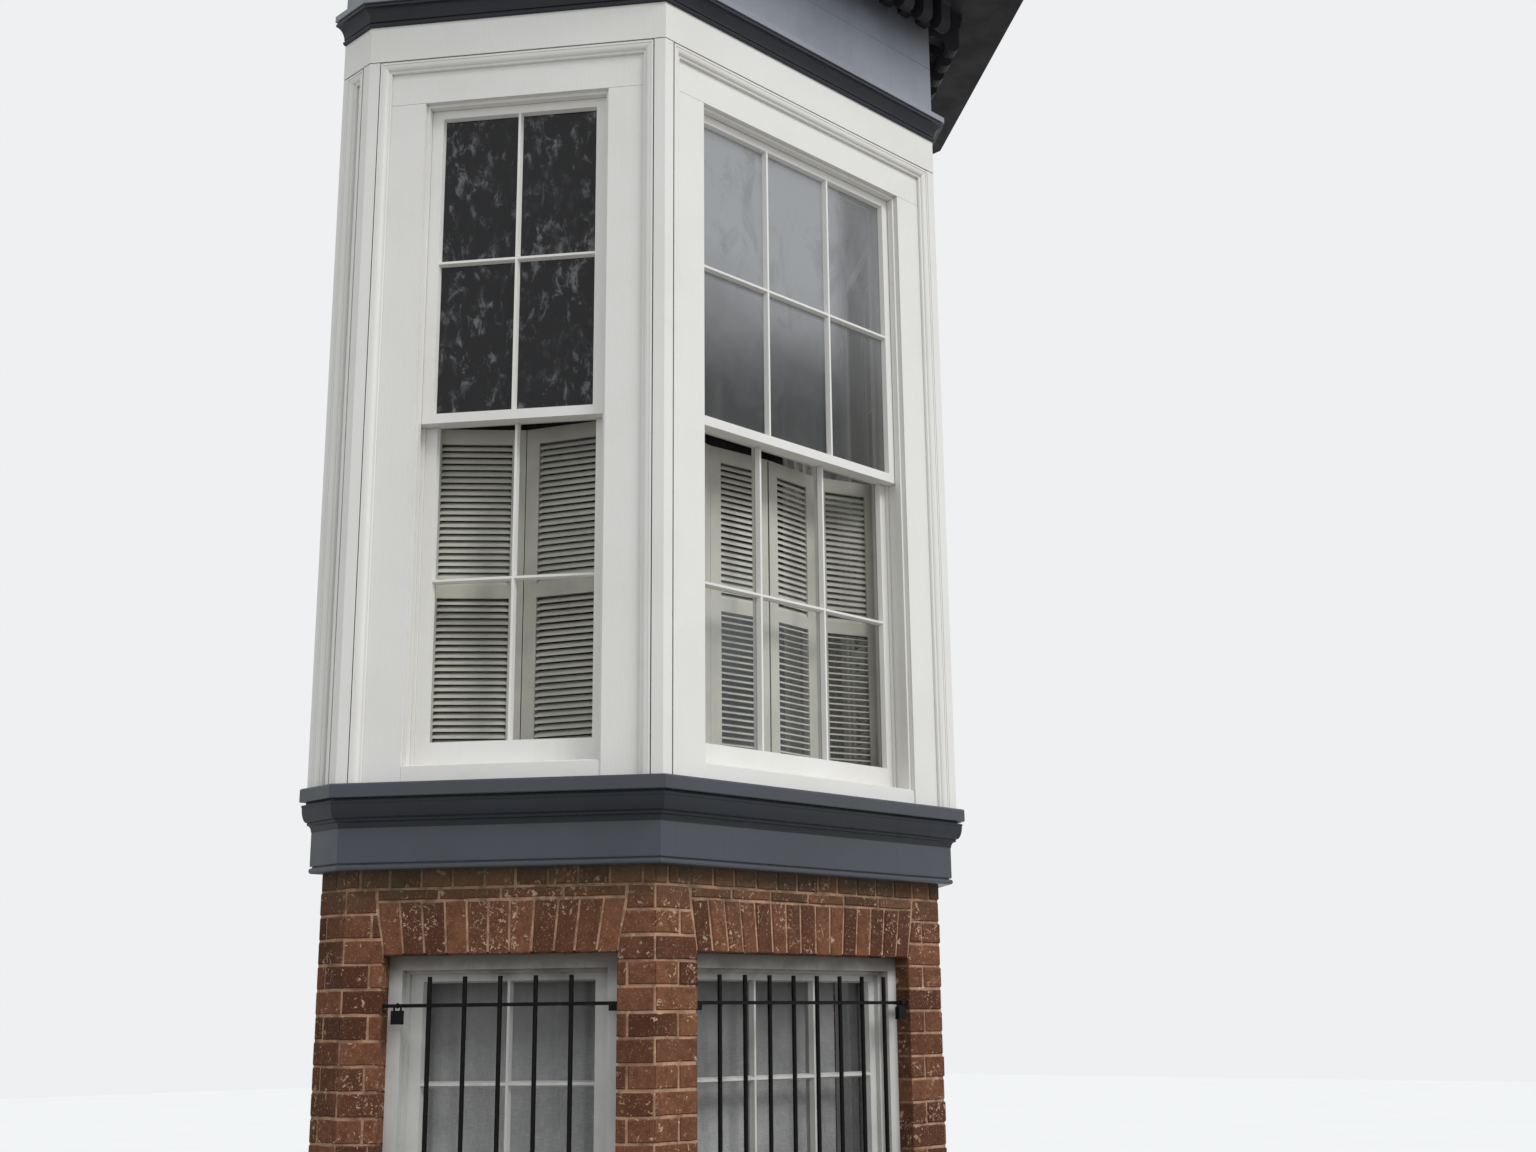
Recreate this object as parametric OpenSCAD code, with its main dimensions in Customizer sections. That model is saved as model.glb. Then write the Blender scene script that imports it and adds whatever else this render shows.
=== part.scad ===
// Canted bay window of a brick town house, from the ground to its bracketed eaves.
// Five faces in plan, named by index from the left: return, cant, front, cant, return.
// Heights named *_z are measured from the ground. "Out" is the distance outward from the white timber
// face, so a negative value lies behind that face.

/* [Plan] */
// Length of the front face along the white timber corner line
front_w = 1600; // [1300:10:2200]
// Length of each canted face
cant_w = 1170; // [1020:10:1400]
// Depth of the short returns that meet the house wall
return_d = 183; // [160:1:300]
// Angle between the front face and a cant, in degrees
turn = 54; // [45:1:60]

/* [Brick basement] */
// Height of one course, brick and joint
course_h = 85; // [70:1:90]
// Mortar joint thickness
joint = 10; // [6:1:14]
// Depth to which the joints of the arches are raked out
joint_rake = 4; // [2:1:6]
// Thickness of the brick wall
brick_t = 215; // [200:5:330]
// How far the brick face stands behind the white timber face
brick_back = 75; // [60:1:90]
// Courses below the basement windows
apron_courses = 2; // [1:1:8]
// Courses from the ground to the top of the piers
pier_courses = 24; // [20:1:28]
// Height of a flat arch
arch_h = 183; // [150:1:220]
// Height of the course of split bricks over each arch, with its joint
split_h = 42; // [30:1:60]
// Splay of a flat arch at each end
arch_skew = 30; // [15:1:50]
// Width of one arch brick with its joint, aimed at
voussoir_w = 75; // [65:1:90]
// Length of one split brick with its joint, aimed at
split_w = 213; // [180:1:240]
// Brickwork that shows between the top of the piers and the timber belt
brick_band_h = 64; // [40:1:160]
// Brick pier from the timber corner line to a cant window
cant_pier = 172; // [150:1:220]
// Brick pier from the timber corner line to the front window
front_pier = 236; // [200:1:300]
// Thickness of the ground floor slab inside the brickwork
ground_slab_t = 100; // [60:5:150]

/* [Basement windows] */
// Depth of the brick reveal in front of the frames
reveal_d = 70; // [50:1:90]
// Depth of the frames
base_frame_d = 154; // [154:1:165]
// How far the outer sash stands behind the face of the frame
base_sash_in = 60; // [40:1:60]
// Depth of the stop in front of that sash
base_stop_t = 18; // [12:1:24]
// Width of the frame jambs
base_jamb_w = 48; // [35:1:55]
// Height of the frame heads
base_head_h = 50; // [35:1:60]
// Height of the frame sills
base_sill_h = 65; // [40:1:80]
// How far the sills stand out from the frames
base_sill_nose = 82; // [72:1:90]

/* [Window guards] */
// Diameter of a bar
bar_dia = 16; // [12:1:20]
// Spacing of the bars
bar_pitch = 125; // [100:1:150]
// Height of the flat crossbars
crossbar_h = 12; // [8:1:20]
// Depth of the flat crossbars
crossbar_d = 24; // [20:1:30]
// Gap between the bar tops and the window head
bar_top_gap = 74; // [50:1:120]
// Length of the bars above and below the crossbars
bar_tail = 96; // [60:1:140]

/* [Timber belt] */
// Thickness of the slab that the white storey stands on
slab_t = 50; // [40:1:70]
// How far the slab stands out from the white face
slab_out = 29; // [20:1:40]
// Height of the shadow gap under the slab
shadow_h = 10; // [6:1:14]
// Height of the bed mould
bed_h = 92; // [80:1:120]
// Height of the flat fascia board
belt_fascia_h = 118; // [90:1:160]
// Height of the bead at the bottom
bead_h = 28; // [24:1:40]
// How far the fascia stands behind the white face
fascia_back = 26; // [20:1:35]
// Thickness of the main floor
floor_t = 100; // [80:5:160]

/* [White storey] */
// Height of the white storey above the slab
white_h = 2957; // [2400:1:3600]
// Height of the plain frieze board at its top
frieze_h = 150; // [100:1:200]
// Thickness of the boards that clad the frame
board_t = 45; // [35:1:45]
// How far the flat boards round the windows lie behind the face
recess = 25; // [15:1:30]
// Thickness of the whole wall from the white face
wall_t = 194; // [194:1:240]
// Visible width of a corner board on each face
stile_w = 42; // [30:1:60]
// Width of the panel moulding
mould_w = 45; // [36:1:60]
// Distance from a corner to the window opening
casing_reach = 225; // [180:1:260]
// Height of the window sill above the slab
sill_h = 66; // [40:1:90]
// Distance from the window heads up to the top of the white storey
head_drop = 329; // [260:1:420]
// Thickness of the frame jambs and heads
jamb_t = 38; // [30:1:45]

/* [Sashes] */
// Thickness of a sash
sash_t = 44; // [35:1:45]
// Width of a sash stile in the front windows
sash_stile = 52; // [45:1:65]
// Width of a sash stile in the cants
cant_sash_stile = 62; // [45:1:75]
// Height of the top rail
top_rail = 52; // [45:1:70]
// Height of the bottom rail
bottom_rail = 94; // [70:1:120]
// Height of the bottom rail of a basement sash
base_bottom_rail = 70; // [60:1:110]
// Height of each meeting rail
meeting_rail = 43; // [35:1:50]
// Height of the rail of the lower sash that it hides
lower_top_rail = 30; // [25:1:35]
// Width of a glazing bar at the glass
bar_w = 21; // [16:1:30]
// Width of a glazing bar at its outer and inner edge
bar_edge_w = 9; // [6:1:12]
// Thickness of the glass
glass_t = 4; // [3:1:6]
// Overlap in height of the upper and lower sashes
meeting_lap = 34; // [20:1:40]
// Width of the stops that hold the sashes
stop_w = 12; // [8:1:16]
// Clearance round a sash
sash_gap = 0.5; // [0.3:0.1:0.9]

/* [Shutters] */
// Thickness of a leaf
leaf_t = 28; // [22:1:32]
// Width of a leaf's stiles
leaf_stile = 52; // [38:1:60]
// Height of the top rail
leaf_top_rail = 58; // [40:1:70]
// Height of the middle rail
leaf_mid_rail = 50; // [40:1:80]
// Height of the bottom rail
leaf_bottom_rail = 85; // [60:1:110]
// Spacing of the louvre slats, aimed at
slat_pitch = 25; // [22:1:32]
// Width of a slat
slat_w = 34; // [28:1:40]
// Thickness of a slat at its middle
slat_t = 7; // [5:1:9]
// Tilt of the upper slats from upright, in degrees
slat_tilt = 40; // [30:1:50]
// Tilt of the lower slats in the cants, in degrees
cant_low_tilt = 44; // [30:1:66]
// Tilt of the lower slats in the front, in degrees
front_low_tilt = 66; // [30:1:66]
// Swing of the leaves in the cants, in degrees
cant_leaf_swing = 12; // [0:1:16]
// Swing of the outer leaves in the front, in degrees
front_leaf_swing = 18; // [0:1:22]
// How far the inner leaves in the front fold back, in degrees
front_leaf_fold = 5; // [0:1:8]

/* [Eaves] */
// Height of the dark moulding over the white storey
cornice_h = 121; // [100:1:160]
// How far that moulding stands out
cornice_out = 52; // [40:1:70]
// Height of the grey frieze above it
grey_frieze_h = 540; // [480:1:700]
// Height of the seam in the grey frieze
frieze_seam_up = 233; // [180:1:300]
// Overhang of the eaves
eave_out = 410; // [330:1:450]
// Thickness of the soffit boards
soffit_t = 22; // [18:1:30]
// Height of the eaves fascia
eave_fascia_h = 110; // [90:1:140]
// Thickness of the eaves fascia
eave_fascia_t = 25; // [20:1:35]
// How far the fascia hangs below the soffit
fascia_drop = 0; // [0:1:40]
// Height of the crown mould over the fascia
crown_h = 105; // [80:1:140]
// How far the crown mould stands out from the fascia
crown_out = 75; // [50:1:100]
// Height of a bracket
bracket_h = 184; // [150:1:260]
// Reach of a bracket
bracket_reach = 168; // [160:1:240]
// Thickness of a bracket
bracket_t = 62; // [40:1:70]
// Spacing of the brackets, aimed at
bracket_pitch = 128; // [110:1:200]

/* [Roof] */
// Slope of the roof, in degrees
roof_slope = 18; // [12:1:25]
// Thickness of the roof deck
roof_t = 30; // [20:1:45]
// Thickness of the ceiling
ceiling_t = 40; // [25:1:60]
// Height of the ceiling above the window heads
ceiling_rise = 220; // [60:1:400]

/* [Hidden] */

// Gap left in a mitre or butt joint between two boards
board_gap = 0.4;
// Seam between the side casings and the head casing of a window
casing_seam = 1.2;
// Clearance at which a hung or hooked piece lies from its seat
seat_gap = 0.3;
// Steps in a moulded curve
curve_steps = 8;
// Reach of a cutting shape past what it cuts
past = 10;
// Reach of a mitre wedge to each side of the white face
wedge_reach = 700;

// Colours
brick_red = [0.43, 0.24, 0.19];
mortar_tan = [0.62, 0.47, 0.40];
paint_white = [0.86, 0.86, 0.83];
paint_grey = [0.36, 0.39, 0.43];
paint_dark = [0.17, 0.19, 0.22];
shutter_grey = [0.66, 0.66, 0.62];
iron_black = [0.05, 0.05, 0.05];
glass_tint = [0.35, 0.40, 0.43, 0.4];
cloth_grey = [0.55, 0.55, 0.54];
floor_brown = [0.45, 0.33, 0.23];
roof_grey = [0.30, 0.32, 0.34];

// Heights
apron_top = apron_courses * course_h;
pier_top = pier_courses * course_h;
arch_top = pier_top - split_h;
base_head_z = arch_top - arch_h;
belt_z = pier_top + brick_band_h;
fascia_z = belt_z + bead_h;
bed_z = fascia_z + belt_fascia_h;
shadow_z = bed_z + bed_h;
slab_z = shadow_z + shadow_h;
slab_top = slab_z + slab_t;
masonry_top = slab_z - floor_t;
sill_z = slab_top + sill_h;
head_z = slab_top + white_h - head_drop;
ceiling_z = head_z + ceiling_rise;
seam_z = slab_top + white_h - frieze_h;
white_top = slab_top + white_h;
cornice_top = white_top + cornice_h;
soffit_z = cornice_top + grey_frieze_h;
eave_z = soffit_z - fascia_drop;
crown_z = eave_z + eave_fascia_h;
roof_z = crown_z + crown_h;

// Plan, with the bay centred on its own footprint
lengths = [return_d, cant_w, front_w, cant_w, return_d];
headings = [-90, -turn, 0, turn, 90];
bends = [0, 90 - turn, turn, turn, 90 - turn, 0];
half_span = front_w / 2 + cant_w * cos(turn);
crown_reach = eave_out + crown_out;
bay_depth = cant_w * sin(turn) + return_d;
wall_y = (bay_depth + crown_reach) / 2;
front_y = wall_y - bay_depth;
corners = [
    [-half_span, wall_y], [-half_span, wall_y - return_d], [-front_w / 2, front_y],
    [front_w / 2, front_y], [half_span, wall_y - return_d], [half_span, wall_y]
];
windows = [1, 2, 3];

// Brick basement
brick_out = -brick_back;
brick_in = -brick_back - brick_t;
base_opening = [0, cant_w - 2 * cant_pier, front_w - 2 * front_pier, cant_w - 2 * cant_pier, 0];
base_pier = [0, cant_pier, front_pier, cant_pier, 0];
base_frame_y = brick_back + reveal_d;
base_sill_z = apron_top + base_sill_h;

// White storey
opening_w = [0, cant_w - 2 * casing_reach, front_w - 2 * casing_reach, cant_w - 2 * casing_reach, 0];
sash_cols = [0, 2, 3, 2, 0];
stiles = [0, cant_sash_stile, sash_stile, cant_sash_stile, 0];
// Depths behind the white face of the outer stop, the upper sash, the parting bead and the lower sash
stop_t = 27;
upper_sash_y = board_t + stop_t + 2;
bead_t = 11;
lower_sash_y = upper_sash_y + sash_t + bead_t;
inner_stop_y = lower_sash_y + sash_t;
inner_stop_t = 18;
meeting_up = 10;
meeting_z = (sill_z + head_z) / 2 + meeting_up;
lower_sash_top = meeting_z + meeting_lap / 2;
upper_sash_z = meeting_z - meeting_lap / 2;

// Points of a plan outline moved outward from the white corner line
function unit(a) = [cos(a), sin(a)];
function out_dir(face) = unit(headings[face] - 90);
function corner_shift(k) =
    k == 0 ? out_dir(0) :
    k == 5 ? out_dir(4) :
    (out_dir(k - 1) + out_dir(k)) / (1 + out_dir(k - 1) * out_dir(k));
function plan_corner(k, out) = corners[k] + out * corner_shift(k);
function plan_line(out) = [for (k = [0:5]) plan_corner(k, out)];
function backward(points) = [for (k = [len(points) - 1:-1:0]) points[k]];
function face_point(face, x, out) = corners[face] + x * unit(headings[face]) + out * out_dir(face);

// Moulded curves between two profile points
function cove(a, b) = [for (k = [0:curve_steps]) let (t = 90 * k / curve_steps)
    [a.x + (b.x - a.x) * (1 - cos(t)), a.y + (b.y - a.y) * sin(t)]];
function ovolo(a, b) = [for (k = [0:curve_steps]) let (t = 90 * k / curve_steps)
    [a.x + (b.x - a.x) * sin(t), a.y + (b.y - a.y) * (1 - cos(t))]];
function ogee(a, b) = [for (k = [0:curve_steps]) let (t = 180 * k / curve_steps)
    [a.x + (b.x - a.x) * (1 - cos(t)) / 2, a.y + (b.y - a.y) * k / curve_steps]];
function half_round(centre, r) = [for (k = [0:curve_steps]) let (t = -90 + 180 * k / curve_steps)
    [centre.x + r * cos(t), centre.y + r * sin(t)]];

// Places children on a face: x along it from its left corner, y into the bay, z up
module on_face(face) {
    translate([corners[face].x, corners[face].y, 0])
        rotate([0, 0, headings[face]])
            children();
}

// The stretch of a face between its two mitre planes, as a plan area
module mitre_area(face, gap) {
    slope_a = tan(bends[face] / 2);
    slope_b = tan(bends[face + 1] / 2);
    gap_a = bends[face] == 0 ? 0 : gap / 2;
    gap_b = bends[face + 1] == 0 ? 0 : gap / 2;
    polygon([
        [-wedge_reach * slope_a + gap_a, -wedge_reach],
        [lengths[face] + wedge_reach * slope_b - gap_b, -wedge_reach],
        [lengths[face] - wedge_reach * slope_b - gap_b, wedge_reach],
        [wedge_reach * slope_a + gap_a, wedge_reach]
    ]);
}

// A moulding with the profile [out, height] on all five faces, cut to length at the mitres
module moulding_run(profile, z) {
    height = max([for (p = profile) p.y]);
    for (face = [0:4])
        on_face(face)
            translate([0, 0, z])
                intersection() {
                    translate([-wedge_reach, 0, 0])
                        rotate([90, 0, 90])
                            linear_extrude(lengths[face] + 2 * wedge_reach)
                                polygon([for (p = profile) [-p.x, p.y]]);
                    translate([0, 0, -past])
                        linear_extrude(height + 2 * past)
                            mitre_area(face, board_gap);
                }
}

// A plain board on all five faces
module board_run(out, inner, z, h) {
    moulding_run([[inner, 0], [out, 0], [out, h], [inner, h]], z);
}

// A wall of the whole plan, open to the house
module plan_wall(out, inner, z, h) {
    translate([0, 0, z])
        linear_extrude(h)
            polygon(concat(plan_line(out), backward(plan_line(inner))));
}

// A flat plate that fills the plan up to the house wall
module plan_plate(out, z, h) {
    translate([0, 0, z])
        linear_extrude(h)
            polygon(plan_line(out));
}

// A pier or post that bends round corner k, with one leg on each face
module elbow(k, leg_a, leg_b, out, inner, z, h) {
    a = lengths[k - 1] - leg_a;
    translate([0, 0, z])
        linear_extrude(h)
            polygon([
                face_point(k - 1, a, out), plan_corner(k, out), face_point(k, leg_b, out),
                face_point(k, leg_b, inner), plan_corner(k, inner), face_point(k - 1, a, inner)
            ]);
}

// Bricks

// The outline in elevation of a flat arch, from the middle of its foot
function arch_outline(w) = [
    [-w / 2, 0], [w / 2, 0], [w / 2 + arch_skew, arch_h], [w / 2 + arch_skew, arch_h + split_h],
    [-w / 2 - arch_skew, arch_h + split_h], [-w / 2 - arch_skew, arch_h]
];

module upright_plate(points, y, t) {
    translate([0, y + t, 0])
        rotate([90, 0, 0])
            linear_extrude(t)
                polygon(points);
}

// A flat arch: splayed bricks on end under a course of split bricks, on a core of mortar that is raked
// back from the face
module flat_arch(face) {
    w = base_opening[face];
    count = 2 * round((w / voussoir_w - 1) / 2) + 1;
    foot = w / count;
    crown = (w + 2 * arch_skew) / count;
    splits = round((w + 2 * arch_skew) / split_w);
    split = (w + 2 * arch_skew) / splits;
    on_face(face)
        translate([lengths[face] / 2, 0, base_head_z]) {
            color(mortar_tan)
                upright_plate(arch_outline(w), brick_back + joint_rake, brick_t - joint_rake);
            color(brick_red)
                for (k = [0:count - 1])
                    upright_plate([
                        [-w / 2 + foot * k + joint / 2, 0],
                        [-w / 2 + foot * (k + 1) - joint / 2, 0],
                        [-w / 2 - arch_skew + crown * (k + 1) - joint / 2, arch_h - joint / 2],
                        [-w / 2 - arch_skew + crown * k + joint / 2, arch_h - joint / 2]
                    ], brick_back, brick_t);
            color(brick_red)
                for (k = [0:splits - 1])
                    translate([
                        -w / 2 - arch_skew + split * k + joint / 2, brick_back, arch_h + joint / 2
                    ])
                        cube([split - joint, brick_t, split_h - joint]);
        }
}

module arch_space(face) {
    on_face(face)
        translate([lengths[face] / 2, 0, base_head_z])
            upright_plate(arch_outline(base_opening[face]), brick_back - past, brick_t + 2 * past);
}

module brick_pier(k) {
    leg_a = k == 1 ? return_d : base_pier[k - 1];
    leg_b = k == 4 ? return_d : base_pier[k];
    color(brick_red)
        difference() {
            elbow(k, leg_a, leg_b, brick_out, brick_in, apron_top, pier_top - apron_top);
            if (k > 1)
                arch_space(k - 1);
            if (k < 4)
                arch_space(k);
        }
}

module brick_base() {
    color(brick_red)
        plan_wall(brick_out, brick_in, 0, apron_top);
}

module left_wall_pier() { brick_pier(1); }
module left_corner_pier() { brick_pier(2); }
module right_corner_pier() { brick_pier(3); }
module right_wall_pier() { brick_pier(4); }

module flat_arches() {
    for (face = windows)
        flat_arch(face);
}

module brick_band() {
    color(brick_red)
        plan_wall(brick_out, brick_in, pier_top, masonry_top - pier_top);
}

module ground_floor() {
    color(mortar_tan)
        plan_plate(brick_in, 0, ground_slab_t);
}

// Joinery shared by both storeys

// A hole for one pane, wide at both faces of the sash and narrow at the glass
module pane_hole(x, z, w, h) {
    flare = (bar_w - bar_edge_w) / 2;
    function waist(size) = [
        [-flare, -past], [-flare, 0], [0, sash_t / 2], [-flare, sash_t], [-flare, sash_t + past],
        [size + flare, sash_t + past], [size + flare, sash_t], [size, sash_t / 2], [size + flare, 0],
        [size + flare, -past]
    ];
    translate([x, 0, z])
        intersection() {
            translate([0, 0, -bar_w])
                linear_extrude(h + 2 * bar_w)
                    polygon(waist(w));
            translate([-bar_w, 0, 0])
                rotate([90, 0, 90])
                    linear_extrude(w + 2 * bar_w)
                        polygon([for (p = waist(h)) [p.y, p.x]]);
        }
}

function pane_w(w, stile, cols) = (w - 2 * stile - (cols - 1) * bar_w) / cols;
function pane_h(h, rows, low, high) = (h - low - high - (rows - 1) * bar_w) / rows;

// A glazed sash without its glass, standing on z = 0, its outer face at y = 0
module sash(w, h, stile, cols, rows, low, high) {
    pane = pane_w(w, stile, cols);
    difference() {
        cube([w, sash_t, h]);
        for (i = [0:cols - 1], j = [0:rows - 1])
            pane_hole(stile + i * (pane + bar_w), low + j * (pane_h(h, rows, low, high) + bar_w),
                pane, pane_h(h, rows, low, high));
    }
}

module sash_panes(w, h, stile, cols, rows, low, high) {
    pane = pane_w(w, stile, cols);
    for (i = [0:cols - 1], j = [0:rows - 1])
        translate([
            stile + i * (pane + bar_w) + seat_gap,
            (sash_t - glass_t) / 2,
            low + j * (pane_h(h, rows, low, high) + bar_w) + seat_gap
        ])
            cube([pane - 2 * seat_gap, glass_t, pane_h(h, rows, low, high) - 2 * seat_gap]);
}

// Basement windows
// The panes above and below are equally high
base_meeting_z = (base_sill_z + base_head_z - base_head_h + base_bottom_rail - meeting_rail) / 2;
base_upper_y = base_frame_y + base_sash_in;
base_lower_y = base_upper_y + sash_t + 3;
base_rows = 2;

module base_window_parts(face, glass) {
    w = base_opening[face] - 2 * base_jamb_w - 2 * sash_gap;
    upper_z = base_meeting_z - meeting_lap / 2;
    lower_z = base_sill_z + sash_gap;
    upper_h = base_head_z - base_head_h - sash_gap - upper_z;
    lower_h = base_meeting_z + meeting_lap / 2 - lower_z;
    stile = stiles[face];
    cols = sash_cols[face];
    on_face(face)
        translate([base_pier[face] + base_jamb_w + sash_gap, 0, 0]) {
            translate([0, base_upper_y, upper_z])
                if (glass)
                    sash_panes(w, upper_h, stile, cols, base_rows, meeting_rail, meeting_rail);
                else
                    sash(w, upper_h, stile, cols, base_rows, meeting_rail, meeting_rail);
            translate([0, base_lower_y, lower_z])
                if (glass)
                    sash_panes(w, lower_h, stile, cols, base_rows, base_bottom_rail, meeting_rail);
                else
                    sash(w, lower_h, stile, cols, base_rows, base_bottom_rail, meeting_rail);
        }
}

module basement_frames() {
    color(paint_white)
        for (face = windows)
            on_face(face)
                base_frame(base_pier[face], base_opening[face]);
}

module base_frame(x, w) {
    h = base_head_z - apron_top;
    translate([x, base_frame_y, apron_top]) {
        difference() {
            cube([w, base_frame_d, h]);
            translate([base_jamb_w, -past, base_sill_h])
                cube([w - 2 * base_jamb_w, base_frame_d + 2 * past, h - base_head_h - base_sill_h]);
        }
        // Outer stop on the jambs and the head
        translate([0, base_sash_in - sash_gap - base_stop_t, 0])
            difference() {
                cube([w, base_stop_t, h]);
                translate([base_jamb_w + stop_w, -past, -past])
                    cube([
                        w - 2 * (base_jamb_w + stop_w), base_stop_t + 2 * past,
                        h - base_head_h - stop_w + past
                    ]);
            }
        // Sloping nose of the sill
        translate([0, 0, 0])
            rotate([90, 0, 90])
                linear_extrude(w)
                    polygon([
                        [-base_sill_nose, 0], [1, 0], [1, base_sill_h],
                        [-base_sill_nose + 4, base_sill_h - 16], [-base_sill_nose, base_sill_h - 20]
                    ]);
    }
}

module basement_sashes() {
    color(paint_white)
        for (face = windows)
            base_window_parts(face, false);
}

module basement_glass() {
    color(glass_tint)
        for (face = windows)
            base_window_parts(face, true);
}

// Curtains that hang just behind the frames
curtain_t = 24;
curtain_drop = 20;

module basement_curtains() {
    color(cloth_grey)
        for (face = windows)
            on_face(face)
                translate([
                    base_pier[face] + base_jamb_w / 2,
                    base_frame_y + base_frame_d + seat_gap,
                    apron_top + curtain_drop
                ])
                    cube([
                        base_opening[face] - base_jamb_w, curtain_t,
                        base_head_z - apron_top - 2 * curtain_drop
                    ]);
}

// Iron guards
guard_y = brick_back + 25;
bar_top_z = base_head_z - bar_top_gap;
lock_y = guard_y - 26;
upper_crossbar_z = bar_top_z - bar_tail;
lower_crossbar_z = base_sill_z + bar_tail;
lock_w = 40;
lock_h = 46;
lock_t = 20;
shackle_r = 12;
shackle_wire = 3.5;
// The shackle passes through the eye of a staple that stands out from the crossbar
eye_r = shackle_wire + 1;
staple_t = 4;
staple_rim = 5;
shackle_h = eye_r + staple_rim + 6;
lock_inset = 60;
catch_w = 30;
catch_h = 25;
// The crossbar's end at which the padlock hangs: 0 left, 1 right
lock_side = [0, 0, 1, 1, 1];

module guard(w) {
    count = floor(w / bar_pitch) - 1;
    for (k = [0:count - 1])
        translate([w / 2 + (k - (count - 1) / 2) * bar_pitch, guard_y, lower_crossbar_z - bar_tail])
            cylinder(d = bar_dia, h = bar_top_z - lower_crossbar_z + bar_tail);
    for (z = [lower_crossbar_z, upper_crossbar_z])
        translate([0, guard_y - crossbar_d / 2, z - crossbar_h / 2])
            cube([w, crossbar_d, crossbar_h]);
}

// The staple for the padlock, and the catch under the crossbar's other end
module guard_fittings() {
    translate([lock_inset, 0, upper_crossbar_z])
        difference() {
            union() {
                translate([-staple_t / 2, lock_y, -staple_rim])
                    cube([staple_t, guard_y - lock_y, 2 * staple_rim]);
                translate([-staple_t / 2, lock_y, 0])
                    rotate([0, 90, 0])
                        cylinder(r = eye_r + staple_rim, h = staple_t);
            }
            translate([-staple_t, lock_y, 0])
                rotate([0, 90, 0])
                    cylinder(r = eye_r, h = 2 * staple_t);
        }
}

// Places children at the end of a guard from which its padlock hangs
module at_lock_side(face) {
    on_face(face)
        translate([lock_side[face] == 0 ? base_pier[face] : lengths[face] - base_pier[face], 0, 0])
            mirror([lock_side[face], 0, 0])
                children();
}

module window_guards() {
    color(iron_black)
        for (face = windows) {
            on_face(face)
                translate([base_pier[face], 0, 0])
                    guard(base_opening[face]);
            at_lock_side(face) {
                guard_fittings();
                translate([
                    base_opening[face] - catch_w, guard_y - crossbar_d / 2, upper_crossbar_z - catch_h
                ])
                    cube([catch_w, crossbar_d, catch_h]);
            }
        }
}

// A padlock, hung from the middle of its shackle
module padlock() {
    translate([-lock_w / 2, -lock_t / 2, -shackle_h - lock_h])
        cube([lock_w, lock_t, lock_h]);
    for (side = [-1, 1])
        translate([side * shackle_r, 0, -shackle_h - 1])
            cylinder(r = shackle_wire, h = shackle_h + 1);
    translate([-shackle_r, 0, 0])
        rotate([0, 90, 0])
            cylinder(r = shackle_wire, h = 2 * shackle_r);
    for (side = [-1, 1])
        translate([side * shackle_r, 0, 0])
            sphere(r = shackle_wire);
}

module padlocks() {
    color(iron_black)
        for (face = windows)
            at_lock_side(face)
                translate([lock_inset, lock_y, upper_crossbar_z - eye_r + shackle_wire + seat_gap])
                    padlock();
}

// Timber belt

bead_r = 10;
groove_h = 5;
groove_d = 10;
fascia_out = -fascia_back;

module belt_bead() {
    color(paint_grey)
        moulding_run(concat(
            [[brick_out, 0]],
            half_round([fascia_out - 6, bead_r], bead_r),
            [
                [fascia_out - groove_d, 2 * bead_r],
                [fascia_out - groove_d, 2 * bead_r + groove_h],
                [fascia_out, 2 * bead_r + groove_h],
                [fascia_out, bead_h - seat_gap],
                [brick_out, bead_h - seat_gap]
            ]), belt_z);
}

module belt_fascia() {
    color(paint_grey)
        board_run(fascia_out, brick_out, fascia_z, belt_fascia_h);
}

// Heights in the bed mould: a hollow, a flat fillet, a round and a flat edge under the slab
bed_hollow_h = 22;
bed_fillet_h = 10;
bed_edge_h = 8;
bed_fillet_out = -6;
bed_top_out = 20;

module bed_mould() {
    color(paint_dark)
        moulding_run(concat(
            [[brick_out, 0]],
            cove([fascia_out + 2, 0], [bed_fillet_out - 2, bed_hollow_h]),
            [[bed_fillet_out, bed_hollow_h], [bed_fillet_out, bed_hollow_h + bed_fillet_h]],
            ovolo([bed_fillet_out + 3, bed_hollow_h + bed_fillet_h], [bed_top_out - 2, bed_h - bed_edge_h]),
            [
                [bed_top_out, bed_h - bed_edge_h], [bed_top_out, bed_h], [2, bed_h], [2, bed_h + shadow_h],
                [brick_out, bed_h + shadow_h]
            ]), bed_z);
}

slab_round = 9;

module belt_slab() {
    color(paint_grey)
        moulding_run(concat(
            [[-wall_t, 0], [slab_out - 3, 0], [slab_out, 3]],
            [for (k = [0:curve_steps]) let (t = 90 * k / curve_steps)
                [slab_out - slab_round + slab_round * cos(t), slab_t - slab_round + slab_round * sin(t)]],
            [[-wall_t, slab_t]]), slab_z);
}

module main_floor() {
    color(floor_brown)
        plan_plate(brick_out, masonry_top, floor_t);
}

// White storey, structure

frame_out = -board_t;
post_leg = [0, casing_reach - jamb_t, casing_reach - jamb_t, casing_reach - jamb_t, 0];
beam_z = head_z + jamb_t;
// The outer top edge of the beams meets the underside of the roof
beam_top = roof_z + (crown_reach - frame_out) * tan(roof_slope) - seat_gap;

module timber_post(k) {
    leg_a = k == 1 ? return_d : post_leg[k - 1];
    leg_b = k == 4 ? return_d : post_leg[k];
    color(paint_white)
        elbow(k, leg_a, leg_b, frame_out, -wall_t, slab_top, beam_z - slab_top);
}

module left_wall_post() { timber_post(1); }
module left_corner_post() { timber_post(2); }
module right_corner_post() { timber_post(3); }
module right_wall_post() { timber_post(4); }

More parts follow.
